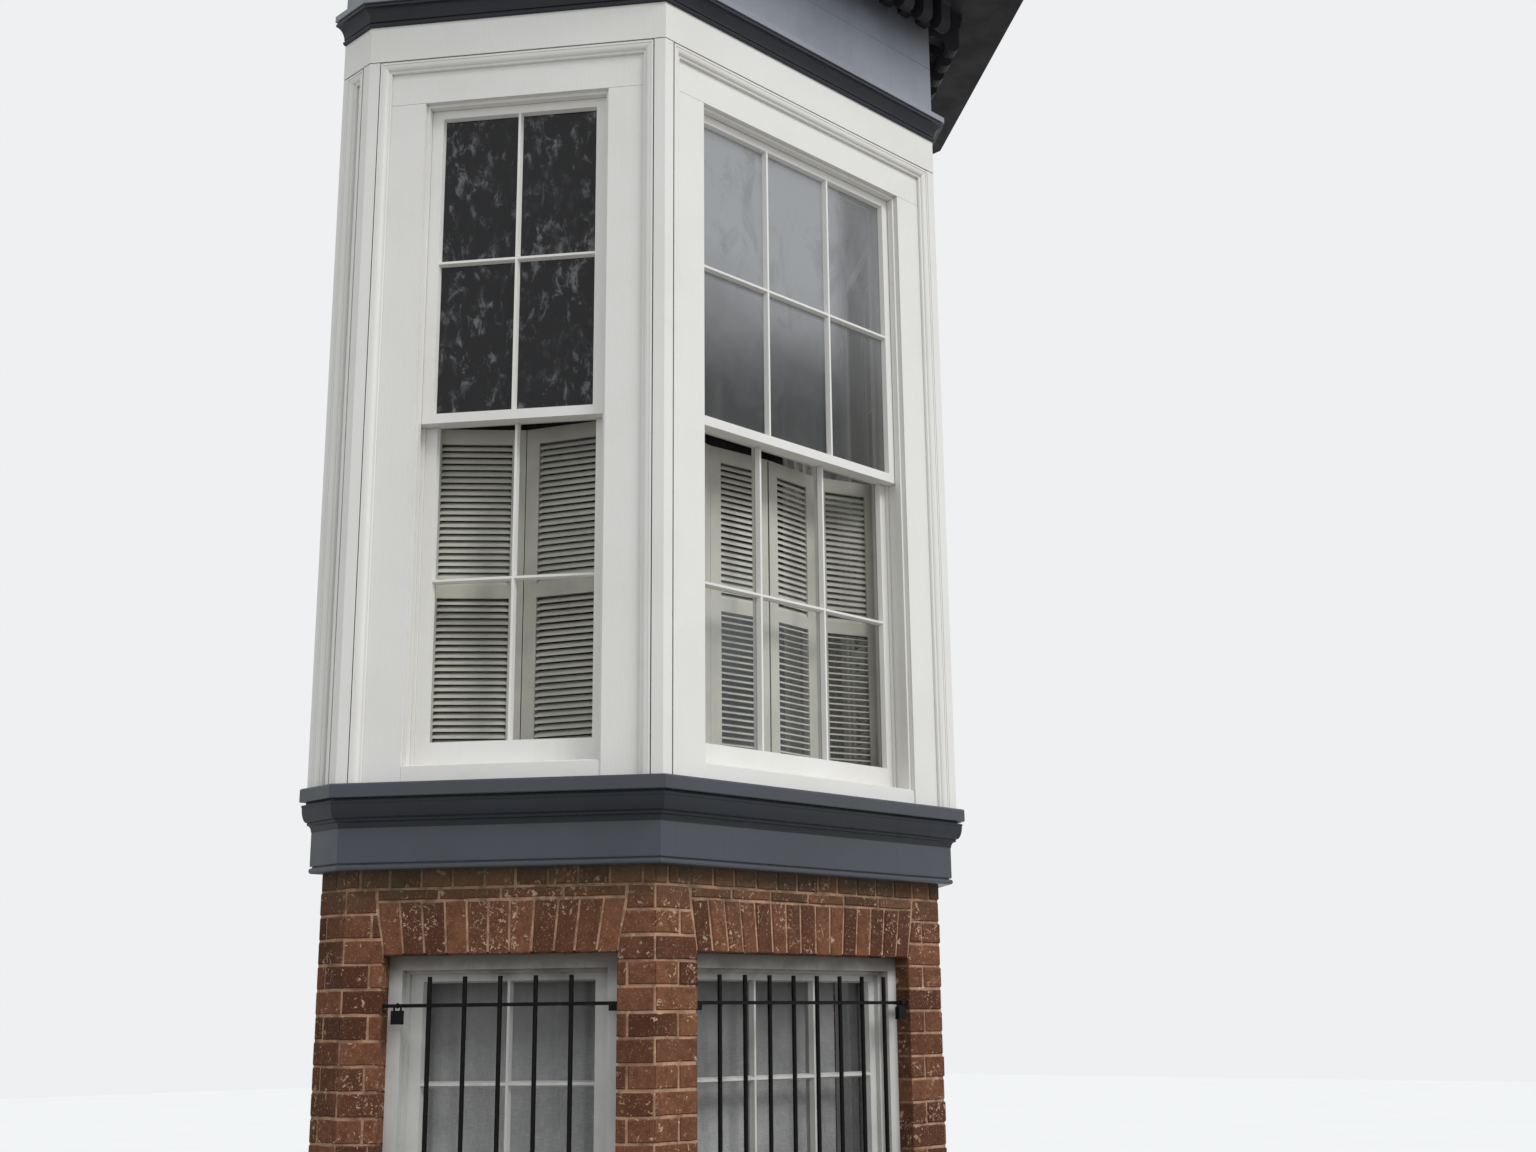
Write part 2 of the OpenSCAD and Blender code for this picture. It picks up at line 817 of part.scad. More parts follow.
module head_beams() {
    color(paint_white)
        board_run(frame_out, -wall_t, beam_z, beam_top - beam_z);
}

// White storey, boards

seam_gap = 3;
return_stile = 26;

module corner_boards() {
    h = seam_z - seam_gap - slab_top;
    color(paint_white) {
        for (k = [1:4])
            elbow(k, stile_w, stile_w, 0, frame_out, slab_top, h);
        on_face(0)
            translate([0, 0, slab_top])
                cube([return_stile, board_t, h]);
        on_face(4)
            translate([return_d - return_stile, 0, slab_top])
                cube([return_stile, board_t, h]);
    }
}

module casing_board(x, z, w, h) {
    translate([x + board_gap / 2, recess, z])
        cube([w - board_gap, board_t - recess, h]);
}

// Distance from a face's left corner to its left stile's edge, and the width between its stiles
function panel_x(face) = face == 0 ? return_stile : stile_w;
function panel_width(face) =
    lengths[face] - stile_w - (face == 0 || face == 4 ? return_stile : stile_w);

module casings() {
    h = seam_z - seam_gap - slab_top;
    color(paint_white)
        for (face = [0:4])
            on_face(face)
                if (opening_w[face] == 0)
                    casing_board(panel_x(face), slab_top, panel_width(face), h);
                else {
                    side = casing_reach - stile_w;
                    casing_board(stile_w, slab_top, side, head_z - slab_top);
                    casing_board(lengths[face] - casing_reach, slab_top, side, head_z - slab_top);
                    casing_board(stile_w, head_z + casing_seam, panel_width(face),
                        slab_top + h - head_z - casing_seam);
                }
}

// Profile of the panel moulding: [distance from the stile, distance out]
mould_quirk = 4;
mould_fillet = 8;
mould_inner = 12;
mould_proud = 2;
mould_profile = concat(
    [
        [0, -recess], [0, -mould_inner], [mould_quirk, -mould_inner], [mould_quirk, mould_proud],
        [mould_quirk + mould_fillet, mould_proud], [mould_quirk + mould_fillet, 0]
    ],
    [for (p = cove([0, 0], [recess - mould_inner - 1, mould_w - mould_quirk - 2 * mould_fillet - 4]))
        [mould_quirk + mould_fillet + 2 + p.y, -p.x]],
    [
        [mould_w - mould_fillet, -recess + mould_inner], [mould_w - 2, -recess + mould_inner],
        [mould_w, -recess + mould_inner - 3], [mould_w, -recess]
    ]
);

// One upright and one head length of the panel moulding, with the mitre between them
module mould_upright(h) {
    intersection() {
        linear_extrude(h)
            polygon([for (p = mould_profile) [p.x, -p.y]]);
        upright_plate([[0, 0], [mould_w, 0], [mould_w, h - mould_w - board_gap], [0, h - board_gap]],
            -past, recess + 2 * past);
    }
}

module mould_head(w, h) {
    intersection() {
        translate([0, 0, h])
            rotate([90, 90, 90])
                linear_extrude(w)
                    polygon([for (p = mould_profile) [p.x, -p.y]]);
        upright_plate([[0, h], [mould_w, h - mould_w], [w - mould_w, h - mould_w], [w, h]],
            -past, recess + 2 * past);
    }
}

module panel_mouldings() {
    h = seam_z - seam_gap - slab_top;
    color(paint_white)
        for (face = [0:4])
            on_face(face)
                translate([panel_x(face) + seat_gap, 0, slab_top]) {
                    w = panel_width(face) - 2 * seat_gap;
                    mould_upright(h);
                    mould_head(w, h);
                    translate([w, 0, 0])
                        mirror([1, 0, 0])
                            mould_upright(h);
                }
}

module frieze_boards() {
    color(paint_white)
        board_run(1, frame_out, seam_z, frieze_h);
}

// Main windows

module frame_ring(w, h, t, y, d, foot) {
    difference() {
        translate([-t, y, foot])
            cube([w + 2 * t, d, h + t - foot]);
        translate([0, y - past, foot - past])
            cube([w, d + 2 * past, h - foot + past]);
    }
}

module window_frame(face) {
    w = opening_w[face];
    h = head_z - slab_top;
    on_face(face)
        translate([casing_reach, 0, slab_top]) {
            frame_ring(w, h, jamb_t, board_t, wall_t - board_t, 0);
            window_stops(w, h);
            window_sill(w);
        }
}

module window_stops(w, h) {
    for (stop = [
        [board_t, stop_t],
        [upper_sash_y + sash_t + sash_gap, bead_t - 2 * sash_gap],
        [inner_stop_y + sash_gap, inner_stop_t - sash_gap]
    ])
        translate([stop_w, 0, 0])
            frame_ring(w - 2 * stop_w, h - stop_w, stop_w + 1, stop.x, stop.y, 0);
}

module window_sill(w) {
    sill_front = recess + 5;
    translate([-1, 0, 0])
        rotate([90, 0, 90])
            linear_extrude(w + 2)
                polygon([
                    [board_t, 0], [inner_stop_y + inner_stop_t, 0],
                    [inner_stop_y + inner_stop_t, sill_h], [board_t, sill_h]
                ]);
    translate([board_gap, 0, 0])
        rotate([90, 0, 90])
            linear_extrude(w - 2 * board_gap)
                polygon([
                    [sill_front, 0], [board_t + 1, 0], [board_t + 1, sill_h], [sill_front, sill_h - 6]
                ]);
}

module window_frames() {
    color(paint_white)
        for (face = windows)
            window_frame(face);
}

module main_sash_place(face, upper, glass) {
    w = opening_w[face] - 2 * sash_gap;
    z = upper ? upper_sash_z : sill_z + sash_gap;
    h = upper ? head_z - sash_gap - z : lower_sash_top - z;
    low = upper ? meeting_rail : bottom_rail;
    high = upper ? top_rail : lower_top_rail;
    on_face(face)
        translate([casing_reach + sash_gap, upper ? upper_sash_y : lower_sash_y, z])
            if (glass)
                sash_panes(w, h, stiles[face], sash_cols[face], 2, low, high);
            else
                sash(w, h, stiles[face], sash_cols[face], 2, low, high);
}

module upper_sashes() {
    color(paint_white)
        for (face = windows)
            main_sash_place(face, true, false);
}

module lower_sashes() {
    color(paint_white)
        for (face = windows)
            main_sash_place(face, false, false);
}

module window_glass() {
    color(glass_tint)
        for (face = windows) {
            main_sash_place(face, true, true);
            main_sash_place(face, false, true);
        }
}

// Louvred shutters

leaf_z = sill_z + 8;
// The leaves end level with the meeting rails
leaf_top = meeting_z + 4;
leaf_h = leaf_top - leaf_z;
field_h = (leaf_h - leaf_top_rail - leaf_mid_rail - leaf_bottom_rail) / 2;
knuckle_r = 5;
knuckle_h = 60;
// Distance of a leaf's outer face in front of its hinge axis
leaf_face = 4;
// Distance of a hinge axis outside the window opening
hinge_inset = 2;
leaf_gap = 3;
slat_tongue = 2;

// A slat's lens-shaped section, tilted so that its outer edge is the lower one
module slat_section(tilt) {
    rotate(90 - tilt)
        polygon([
            [-slat_w / 2, 0], [-slat_w / 4, slat_t / 2], [slat_w / 4, slat_t / 2],
            [slat_w / 2, 0], [slat_w / 4, -slat_t / 2], [-slat_w / 4, -slat_t / 2]
        ]);
}

module slats(w, z, tilt) {
    count = round(field_h / slat_pitch);
    for (k = [0:count - 1])
        translate([leaf_stile - slat_tongue, leaf_t / 2, z + field_h * (k + 1 / 2) / count])
            rotate([90, 0, 90])
                linear_extrude(w - 2 * leaf_stile + 2 * slat_tongue)
                    slat_section(tilt);
}

// One leaf, hinged along the z axis and reaching along x, with its outer face in front
module leaf(w, low_tilt) {
    translate([0, -leaf_face, leaf_z]) {
        for (x = [0, w - leaf_stile])
            translate([x, 0, 0])
                cube([leaf_stile, leaf_t, leaf_h]);
        cube([w, leaf_t, leaf_bottom_rail]);
        translate([0, 0, leaf_bottom_rail + field_h])
            cube([w, leaf_t, leaf_mid_rail]);
        translate([0, 0, leaf_h - leaf_top_rail])
            cube([w, leaf_t, leaf_top_rail]);
        slats(w, leaf_bottom_rail, low_tilt);
        slats(w, leaf_bottom_rail + field_h + leaf_mid_rail, slat_tilt);
    }
}

// The strip on the room side of one leaf that covers the joint with the next
cover_lap = 12;
cover_reach = 18;
cover_t = 5;

module cover_strip(w) {
    translate([w - cover_lap, leaf_t - leaf_face, leaf_z])
        cube([cover_lap + cover_reach, cover_t, leaf_h]);
}

module knuckles(x) {
    for (up = [leaf_bottom_rail, leaf_h / 2, leaf_h - leaf_bottom_rail])
        translate([x, 0, leaf_z + up - knuckle_h / 2])
            cylinder(r = knuckle_r, h = knuckle_h);
}

// Places children at the hinges on the left jamb, swung into the room
module hung(swing) {
    translate([casing_reach - hinge_inset, wall_t + knuckle_r + seat_gap, 0])
        rotate([0, 0, swing])
            children();
}

module cant_leaf() {
    hung(cant_leaf_swing) {
        leaf(cant_leaf_w, cant_low_tilt);
        knuckles(0);
    }
}

module folding_pair() {
    hung(front_leaf_swing) {
        leaf(front_leaf_w, front_low_tilt);
        knuckles(0);
        translate([front_leaf_w + leaf_gap / 2, 0, 0]) {
            knuckles(0);
            rotate([0, 0, -front_leaf_swing - front_leaf_fold])
                translate([leaf_gap / 2, 0, 0])
                    leaf(front_leaf_w, front_low_tilt);
        }
    }
}

module both_sides(face) {
    children();
    translate([lengths[face], 0, 0])
        mirror([1, 0, 0])
            children();
}

// The swung leaves meet in the middle of the opening
cant_leaf_w = (opening_w[1] / 2 + hinge_inset - leaf_gap / 2 - leaf_face * sin(cant_leaf_swing))
    / cos(cant_leaf_swing);
front_leaf_w = (opening_w[2] / 2 + hinge_inset - leaf_gap / 2 - (leaf_t - leaf_face) * sin(front_leaf_fold))
    / (cos(front_leaf_swing) + cos(front_leaf_fold)) - leaf_gap / 2;

module cant_shutters(face) {
    color(shutter_grey)
        on_face(face)
            union() {
                both_sides(face)
                    cant_leaf();
                hung(cant_leaf_swing)
                    cover_strip(cant_leaf_w);
            }
}

module left_shutters() { cant_shutters(1); }
module right_shutters() { cant_shutters(3); }

module front_shutters() {
    color(shutter_grey)
        on_face(2)
            both_sides(2)
                folding_pair();
}

// A drape that hangs from the ceiling at the right of the front window
drape_w = 340;
drape_x = front_w - casing_reach - drape_w - 25;
drape_t = 60;
drape_y = wall_t + 170;

module drape() {
    color(cloth_grey)
        on_face(2)
            translate([drape_x, drape_y, slab_z + 20])
                cube([drape_w, drape_t, ceiling_z - slab_z - 20 - seat_gap]);
}

// Eaves

// Heights of its members: a bead, a hollow, a flat fillet and a dark gap under the cap
cornice_bead_r = 9;
hollow_foot = 22;
fillet_foot = 66;
fillet_h = 10;
cap_gap_h = 8;
cap_gap_d = 12;
cap_foot = fillet_foot + fillet_h + cap_gap_h;

module cornice_mould() {
    color(paint_dark)
        moulding_run(concat(
            [[frame_out, 0]],
            half_round([4, cornice_bead_r], cornice_bead_r),
            [[4, hollow_foot], [8, hollow_foot]],
            cove([8, hollow_foot], [cornice_out - 8, fillet_foot]),
            [
                [cornice_out - 4, fillet_foot], [cornice_out - 4, fillet_foot + fillet_h],
                [cornice_out - cap_gap_d, fillet_foot + fillet_h], [cornice_out - cap_gap_d, cap_foot],
                [frame_out, cap_foot]
            ]), white_top);
}

// The frieze stands on a cap with a sloping top
cap_slope_h = 12;
frieze_face = 2;
seam_cut = 3;

module grey_frieze() {
    foot = cornice_h - cap_foot;
    seam = foot + frieze_seam_up;
    color(paint_grey)
        moulding_run([
            [frame_out, 0], [cornice_out, 0], [cornice_out, foot - cap_slope_h], [frieze_face, foot],
            [frieze_face, seam], [frieze_face - seam_cut, seam + seam_cut],
            [frieze_face, seam + 2 * seam_cut], [frieze_face, foot + grey_frieze_h],
            [frame_out, foot + grey_frieze_h]
        ], white_top + cap_foot);
}

// Outline of a bracket: [distance out, height below the soffit as a negative number]
bracket_cap = 24;
bracket_cap_lip = 6;
bracket_body_out = 150;
scroll_r = 34;
scroll_tail = 112;
bracket_profile = concat(
    [
        [0, 0], [bracket_reach, 0], [bracket_reach, -bracket_cap],
        [bracket_reach - bracket_cap_lip, -bracket_cap]
    ],
    [for (p = cove([0, 0], [bracket_reach - bracket_cap_lip - bracket_body_out, 44]))
        [bracket_reach - bracket_cap_lip - p.x, -bracket_cap - p.y]],
    [for (t = [0:-30:-180])
        [bracket_body_out - scroll_r + scroll_r * cos(t), -bracket_h + scroll_r + scroll_r * sin(t)]],
    [for (p = cove([0, 0], [bracket_body_out - 2 * scroll_r, bracket_h - scroll_r - scroll_tail]))
        [bracket_body_out - 2 * scroll_r - p.x, -bracket_h + scroll_r + p.y]]
);

module bracket(x) {
    translate([x - bracket_t / 2, -frieze_face - seat_gap, soffit_z - seat_gap])
        rotate([90, 0, 90])
            linear_extrude(bracket_t)
                polygon([for (p = bracket_profile) [-p.x, p.y]]);
}

// Brackets along a face, kept clear of its mitres
bracket_corner = 60;

module eave_brackets() {
    color(paint_dark)
        for (face = [0:4])
            on_face(face) {
                first = bends[face] == 0 ? bracket_t / 2 + board_gap : bracket_corner;
                last = lengths[face] - (bends[face + 1] == 0 ? bracket_t / 2 + board_gap : bracket_corner);
                spans = round((last - first) / bracket_pitch);
                if (spans < 1)
                    bracket(first);
                else
                    for (k = [0:spans])
                        bracket(first + (last - first) * k / spans);
            }
}

fascia_in = eave_out - eave_fascia_t;

module soffit() {
    color(paint_dark)
        board_run(fascia_in, frame_out, soffit_z, soffit_t);
}

module eave_fascia() {
    color(paint_dark)
        board_run(eave_out, fascia_in, eave_z, eave_fascia_h);
}

crown_fillet = 14;

module crown_mould() {
    color(paint_dark)
        moulding_run(concat(
            [[fascia_in, 0], [eave_out + 6, 0], [eave_out + 6, crown_fillet]],
            ogee([eave_out + 10, crown_fillet], [crown_reach, crown_h - crown_fillet]),
            [[crown_reach, crown_h], [fascia_in, crown_h]]), crown_z);
}

module ceiling() {
    color(paint_white)
        plan_plate(-wall_t - seat_gap, ceiling_z, ceiling_t);
}

// Roof: the space under five equal slopes that rise inward from the crown mould
module under_slope(face, lift) {
    far = 2 * half_span + 2 * crown_reach;
    on_face(face)
        translate([-far, -crown_reach, roof_z + lift])
            rotate([90, 0, 90])
                linear_extrude(lengths[face] + 2 * far)
                    polygon([[0, -far], [0, 0], [far, far * tan(roof_slope)], [far, -far]]);
}

module under_slopes(lift) {
    intersection() {
        under_slope(0, lift);
        under_slope(1, lift);
        under_slope(2, lift);
        under_slope(3, lift);
        under_slope(4, lift);
    }
}

module roof() {
    color(roof_grey)
        difference() {
            intersection() {
                under_slopes(roof_t);
                translate([0, 0, roof_z])
                    linear_extrude(bay_depth + crown_reach)
                        polygon(plan_line(crown_reach));
            }
            under_slopes(0);
        }
}

brick_base();
left_wall_pier();
left_corner_pier();
right_corner_pier();
right_wall_pier();
flat_arches();
brick_band();
ground_floor();
basement_frames();
basement_sashes();
basement_glass();
basement_curtains();
window_guards();
padlocks();
belt_bead();
belt_fascia();
bed_mould();
belt_slab();
main_floor();
left_wall_post();
left_corner_post();
right_corner_post();
right_wall_post();
head_beams();
corner_boards();
casings();
panel_mouldings();
frieze_boards();
window_frames();
upper_sashes();
lower_sashes();
window_glass();
left_shutters();
front_shutters();
right_shutters();
drape();
cornice_mould();
grey_frieze();
eave_brackets();
soffit();
eave_fascia();
crown_mould();
ceiling();
roof();
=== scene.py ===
"""Looks of the canted bay window: brickwork, cloth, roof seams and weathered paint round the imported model."""

import math
import random

import bpy
from mathutils import Matrix, Vector, noise


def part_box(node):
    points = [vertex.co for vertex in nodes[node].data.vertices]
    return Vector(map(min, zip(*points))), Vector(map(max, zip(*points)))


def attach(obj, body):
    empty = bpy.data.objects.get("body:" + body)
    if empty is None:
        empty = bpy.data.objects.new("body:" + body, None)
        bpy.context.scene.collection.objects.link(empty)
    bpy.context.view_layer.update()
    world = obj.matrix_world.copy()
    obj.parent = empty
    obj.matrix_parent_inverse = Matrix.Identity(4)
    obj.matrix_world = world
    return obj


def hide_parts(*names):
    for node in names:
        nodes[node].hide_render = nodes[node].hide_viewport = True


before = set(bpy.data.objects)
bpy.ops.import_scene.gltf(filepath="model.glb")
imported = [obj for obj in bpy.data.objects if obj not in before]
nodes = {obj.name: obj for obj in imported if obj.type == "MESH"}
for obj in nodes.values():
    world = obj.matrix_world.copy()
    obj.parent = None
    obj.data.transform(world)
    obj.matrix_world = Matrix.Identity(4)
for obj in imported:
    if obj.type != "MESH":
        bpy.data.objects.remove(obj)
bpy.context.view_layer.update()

# Sizes of the model in metres and its angles in degrees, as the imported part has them
FRONT_W = 1.6
CANT_W = 1.17
RETURN_D = 0.183
TURN = 54
COURSE = 0.085
JOINT = 0.01
BRICK_OUT = -0.075
BRICK_IN = -0.29
BASE_TOP = 2 * COURSE
PIER_TOP = 24 * COURSE
SPLIT_H = 0.042
ARCH_H = 0.183
ARCH_SKEW = 0.03
ARCH_TOP = PIER_TOP - SPLIT_H
ARCH_FOOT = ARCH_TOP - ARCH_H
SLAB_TOP = 2.402
BAND_TOP = 2.252
CANT_PIER = 0.172
FRONT_PIER = 0.236
CROWN_REACH = 0.485
ROOF_SLOPE = 18
ROOF_T = 0.03
LENGTHS = [RETURN_D, CANT_W, FRONT_W, CANT_W, RETURN_D]
HEADINGS = [-90, -TURN, 0, TURN, 90]
BENDS = [0, 90 - TURN, TURN, TURN, 90 - TURN, 0]
PIERS = [0, CANT_PIER, FRONT_PIER, CANT_PIER, 0]
HALF_SPAN = FRONT_W / 2 + CANT_W * math.cos(math.radians(TURN))
BAY_DEPTH = CANT_W * math.sin(math.radians(TURN)) + RETURN_D
WALL_Y = (BAY_DEPTH + CROWN_REACH) / 2
FRONT_Y = WALL_Y - BAY_DEPTH
# Heights of the meeting rails and of the painted shade at the top of the frieze, and half the width of the
# front glass
MEETING_Z = SLAB_TOP + 1.363
FRIEZE_SHADE = (SLAB_TOP + 3.36, SLAB_TOP + 3.72)
FRONT_GLASS = 0.655
# Heights between which damp shows under the belt, and dirt at the foot of the wall
BELT_DAMP = (2.03, 2.26)
FOOT_DIRT = (0.05, 0.42)
CORNERS = [
    (-HALF_SPAN, WALL_Y), (-HALF_SPAN, WALL_Y - RETURN_D), (-FRONT_W / 2, FRONT_Y),
    (FRONT_W / 2, FRONT_Y), (HALF_SPAN, WALL_Y - RETURN_D), (HALF_SPAN, WALL_Y),
]


def heading(angle):
    """The unit vector in plan at an angle in degrees."""
    return math.cos(math.radians(angle)), math.sin(math.radians(angle))


def on_face(face, x, out, z):
    """A point on a face: x along it from its left corner, out from the white corner line, z up."""
    cx, cy = CORNERS[face]
    ax, ay = heading(HEADINGS[face])
    nx, ny = heading(HEADINGS[face] - 90)
    return Vector((cx + x * ax + out * nx, cy + x * ay + out * ny, z))


def mitre_left(face, out):
    """How far along a face the mitre of its left corner lies, at a distance out."""
    return -out * math.tan(math.radians(BENDS[face] / 2))


def mitre_right(face, out):
    """The same for its right corner."""
    return LENGTHS[face] + out * math.tan(math.radians(BENDS[face + 1] / 2))


class Shader:
    """A principled material whose colours come from nodes in the part's own frame."""

    def __init__(self, name):
        self.material = bpy.data.materials.new(name)
        self.material.use_nodes = True
        self.tree = self.material.node_tree
        self.bsdf = self.tree.nodes["Principled BSDF"]
        self.place = self.add("ShaderNodeTexCoord").outputs["Object"]

    def add(self, kind, **settings):
        node = self.tree.nodes.new(kind)
        for key, value in settings.items():
            setattr(node, key, value)
        return node

    def put(self, socket, value):
        """Links a socket to another one, or sets its value."""
        if isinstance(value, bpy.types.NodeSocket):
            self.tree.links.new(value, socket)
        elif isinstance(value, (tuple, list)) and len(value) == 3 and socket.type == "RGBA":
            socket.default_value = (*value, 1)
        else:
            socket.default_value = value

    def stretch(self, x, y, z):
        node = self.add("ShaderNodeMapping")
        self.put(node.inputs["Vector"], self.place)
        node.inputs["Scale"].default_value = (x, y, z)
        return node.outputs["Vector"]

    def noise(self, scale, detail=4, rough=0.55, vector=None, warp=0):
        node = self.add("ShaderNodeTexNoise")
        self.put(node.inputs["Vector"], vector or self.place)
        node.inputs["Scale"].default_value = scale
        node.inputs["Detail"].default_value = detail
        node.inputs["Roughness"].default_value = rough
        node.inputs["Distortion"].default_value = warp
        return node.outputs["Fac"]

    def span(self, value, low, high, to_low=0.0, to_high=1.0):
        """A smooth step from one value to another between two limits, which may fall as well as rise."""
        node = self.add("ShaderNodeMapRange", interpolation_type="SMOOTHSTEP")
        self.put(node.inputs["Value"], value)
        for key, number in (("From Min", low), ("From Max", high), ("To Min", to_low), ("To Max", to_high)):
            node.inputs[key].default_value = number
        return node.outputs["Result"]

    def math(self, kind, a, b=0.0):
        node = self.add("ShaderNodeMath", operation=kind)
        self.put(node.inputs[0], a)
        self.put(node.inputs[1], b)
        return node.outputs[0]

    def plus(self, a, b):
        return self.math("ADD", a, b)

    def minus(self, a, b):
        return self.math("SUBTRACT", a, b)

    def times(self, a, b):
        return self.math("MULTIPLY", a, b)

    def mix(self, factor, a, b):
        """Colour a where the factor is 0, and b where it is 1. The colour sockets are 6, 7 and output 2."""
        node = self.add("ShaderNodeMix", data_type="RGBA")
        self.put(node.inputs[0], factor)
        self.put(node.inputs[6], a)
        self.put(node.inputs[7], b)
        return node.outputs[2]

    def axis(self, name):
        node = self.add("ShaderNodeSeparateXYZ")
        self.put(node.inputs[0], self.place)
        return node.outputs[name]

    def up_facing(self):
        node = self.add("ShaderNodeSeparateXYZ")
        self.put(node.inputs[0], self.add("ShaderNodeNewGeometry").outputs["Normal"])
        return node.outputs["Z"]

    def attribute(self, name):
        return self.add("ShaderNodeAttribute", attribute_name=name).outputs["Fac"]

    def bump(self, height, distance, normal=None):
        node = self.add("ShaderNodeBump")
        node.inputs["Distance"].default_value = distance
        self.put(node.inputs["Height"], height)
        if normal:
            self.put(node.inputs["Normal"], normal)
        return node.outputs["Normal"]

    def finish(self, colour, rough, normal=None, **fixed):
        self.put(self.bsdf.inputs["Base Color"], colour)
        self.put(self.bsdf.inputs["Roughness"], rough)
        if normal:
            self.put(self.bsdf.inputs["Normal"], normal)
        for key, value in fixed.items():
            self.bsdf.inputs[key.replace("_", " ")].default_value = value
        return self.material


def painted(name, base, dirty, rough=0.42, dirt=0.35, streaks=0.4, grain=(14, 14, 1.6), shade_above=None,
            shine=0.5, crevice_shade=None, dust_and_shade=None):
    """Oil paint on timber, with brush marks and dirt.

    Painted shade comes from three keywords: a colour that grows between two heights, (z0, z1, colour);
    darkening in narrow gaps, (amount, reach); and the colour of faces that look up.
    """
    s = Shader(name)
    clouds = s.span(s.noise(2.2, 5), 0.42, 0.72)
    runs = s.span(s.noise(1.0, 6, 0.6, s.stretch(26, 26, 1.3)), 0.5, 0.78)
    specks = s.span(s.noise(150, 2), 0.70, 0.76)
    colour = s.mix(s.times(clouds, dirt), base, dirty)
    colour = s.mix(s.times(runs, dirt * streaks), colour, dirty)
    colour = s.mix(s.times(specks, 0.12 + dirt * 0.5), colour, tuple(0.45 * c for c in dirty))
    # Painted shade: darker between two heights
    if shade_above:
        height = s.plus(s.axis("Z"), s.times(s.noise(5, 5), 0.16))
        colour = s.mix(s.span(height, shade_above[0], shade_above[1]), colour, shade_above[2])
    # Painted shade on the faces that look up
    if dust_and_shade:
        colour = s.mix(s.times(s.span(s.up_facing(), 0.76, 0.90), 0.85), colour, dust_and_shade)
    # Painted shade in narrow gaps, found by an ambient occlusion node
    if crevice_shade:
        amount, reach = crevice_shade
        nook = s.add("ShaderNodeAmbientOcclusion", samples=6)
        nook.inputs["Distance"].default_value = reach
        deep = s.times(s.span(nook.outputs["AO"], 0.62, 0.28), amount)
        colour = s.mix(deep, colour, tuple(0.06 * c for c in dirty))
    brush = s.noise(9, 6, 0.6, s.stretch(*grain))
    pits = s.noise(260, 3)
    normal = s.bump(pits, 0.0002, s.bump(brush, 0.0007))
    uneven = s.span(s.noise(7, 4), 0.3, 0.7, rough - 0.06, rough + 0.1)
    return s.finish(colour, uneven, normal, Specular_IOR_Level=shine)


def brick_stuff():
    """Hand-made bricks: each its own tone, mottled, chipped, with old paint specks and damp at the top."""
    s = Shader("brick")
    tone = s.attribute("tone")
    colour = s.mix(s.span(tone, 0.0, 1.0), (0.092, 0.036, 0.020), (0.208, 0.085, 0.045))
    mottle = s.span(s.noise(34, 6, 0.62), 0.36, 0.66)
    colour = s.mix(s.times(mottle, 0.5), colour, (0.066, 0.030, 0.019))
    warm = s.span(s.noise(5.5, 4), 0.5, 0.72)
    colour = s.mix(s.times(warm, 0.25), colour, (0.27, 0.118, 0.062))
    patches = s.span(s.noise(7, 4), 0.50, 0.62)
    specks = s.span(s.noise(70, 4, 0.62, warp=0.8), 0.580, 0.605)
    blots = s.span(s.noise(26, 5, 0.66, warp=1.0), 0.635, 0.655)
    dots = s.span(s.noise(160, 2, 0.5, warp=0.3), 0.64, 0.66)
    pale = s.math("MAXIMUM", s.times(specks, patches), s.times(dots, 0.35))
    pale = s.math("MAXIMUM", pale, blots)
    colour = s.mix(s.times(pale, 0.85), colour, (0.56, 0.40, 0.28))
    colour = damp(s, colour)
    dents = s.noise(60, 6, 0.6)
    grains = s.noise(420, 2)
    normal = s.bump(grains, 0.0009, s.bump(dents, 0.004))
    return s.finish(colour, 0.9, normal, Specular_IOR_Level=0.12)


def damp(s, colour):
    """Grey-green growth that thins out below the timber belt, and dirt at the foot of the wall."""
    drop = s.plus(s.axis("Z"), s.times(s.noise(9, 5), 0.22))
    near = s.span(drop, *BELT_DAMP)
    stain = s.mix(s.noise(24, 4), (0.050, 0.043, 0.026), (0.115, 0.098, 0.060))
    colour = s.mix(s.times(near, 0.72), colour, stain)
    foot = s.span(s.plus(s.axis("Z"), s.times(s.noise(6, 5), 0.3)), FOOT_DIRT[1], FOOT_DIRT[0])
    return s.mix(s.times(foot, 0.5), colour, (0.060, 0.050, 0.036))


def mortar_stuff():
    """Coarse lime mortar."""
    s = Shader("mortar")
    colour = s.mix(s.span(s.noise(18, 5), 0.35, 0.7), (0.50, 0.305, 0.195), (0.26, 0.150, 0.098))
    colour = s.mix(s.span(s.noise(80, 3), 0.6, 0.7), colour, (0.62, 0.46, 0.34))
    colour = damp(s, colour)
    normal = s.bump(s.noise(240, 4, 0.65), 0.0022, s.bump(s.noise(34, 4), 0.004))
    return s.finish(colour, 0.95, normal, Specular_IOR_Level=0.12)


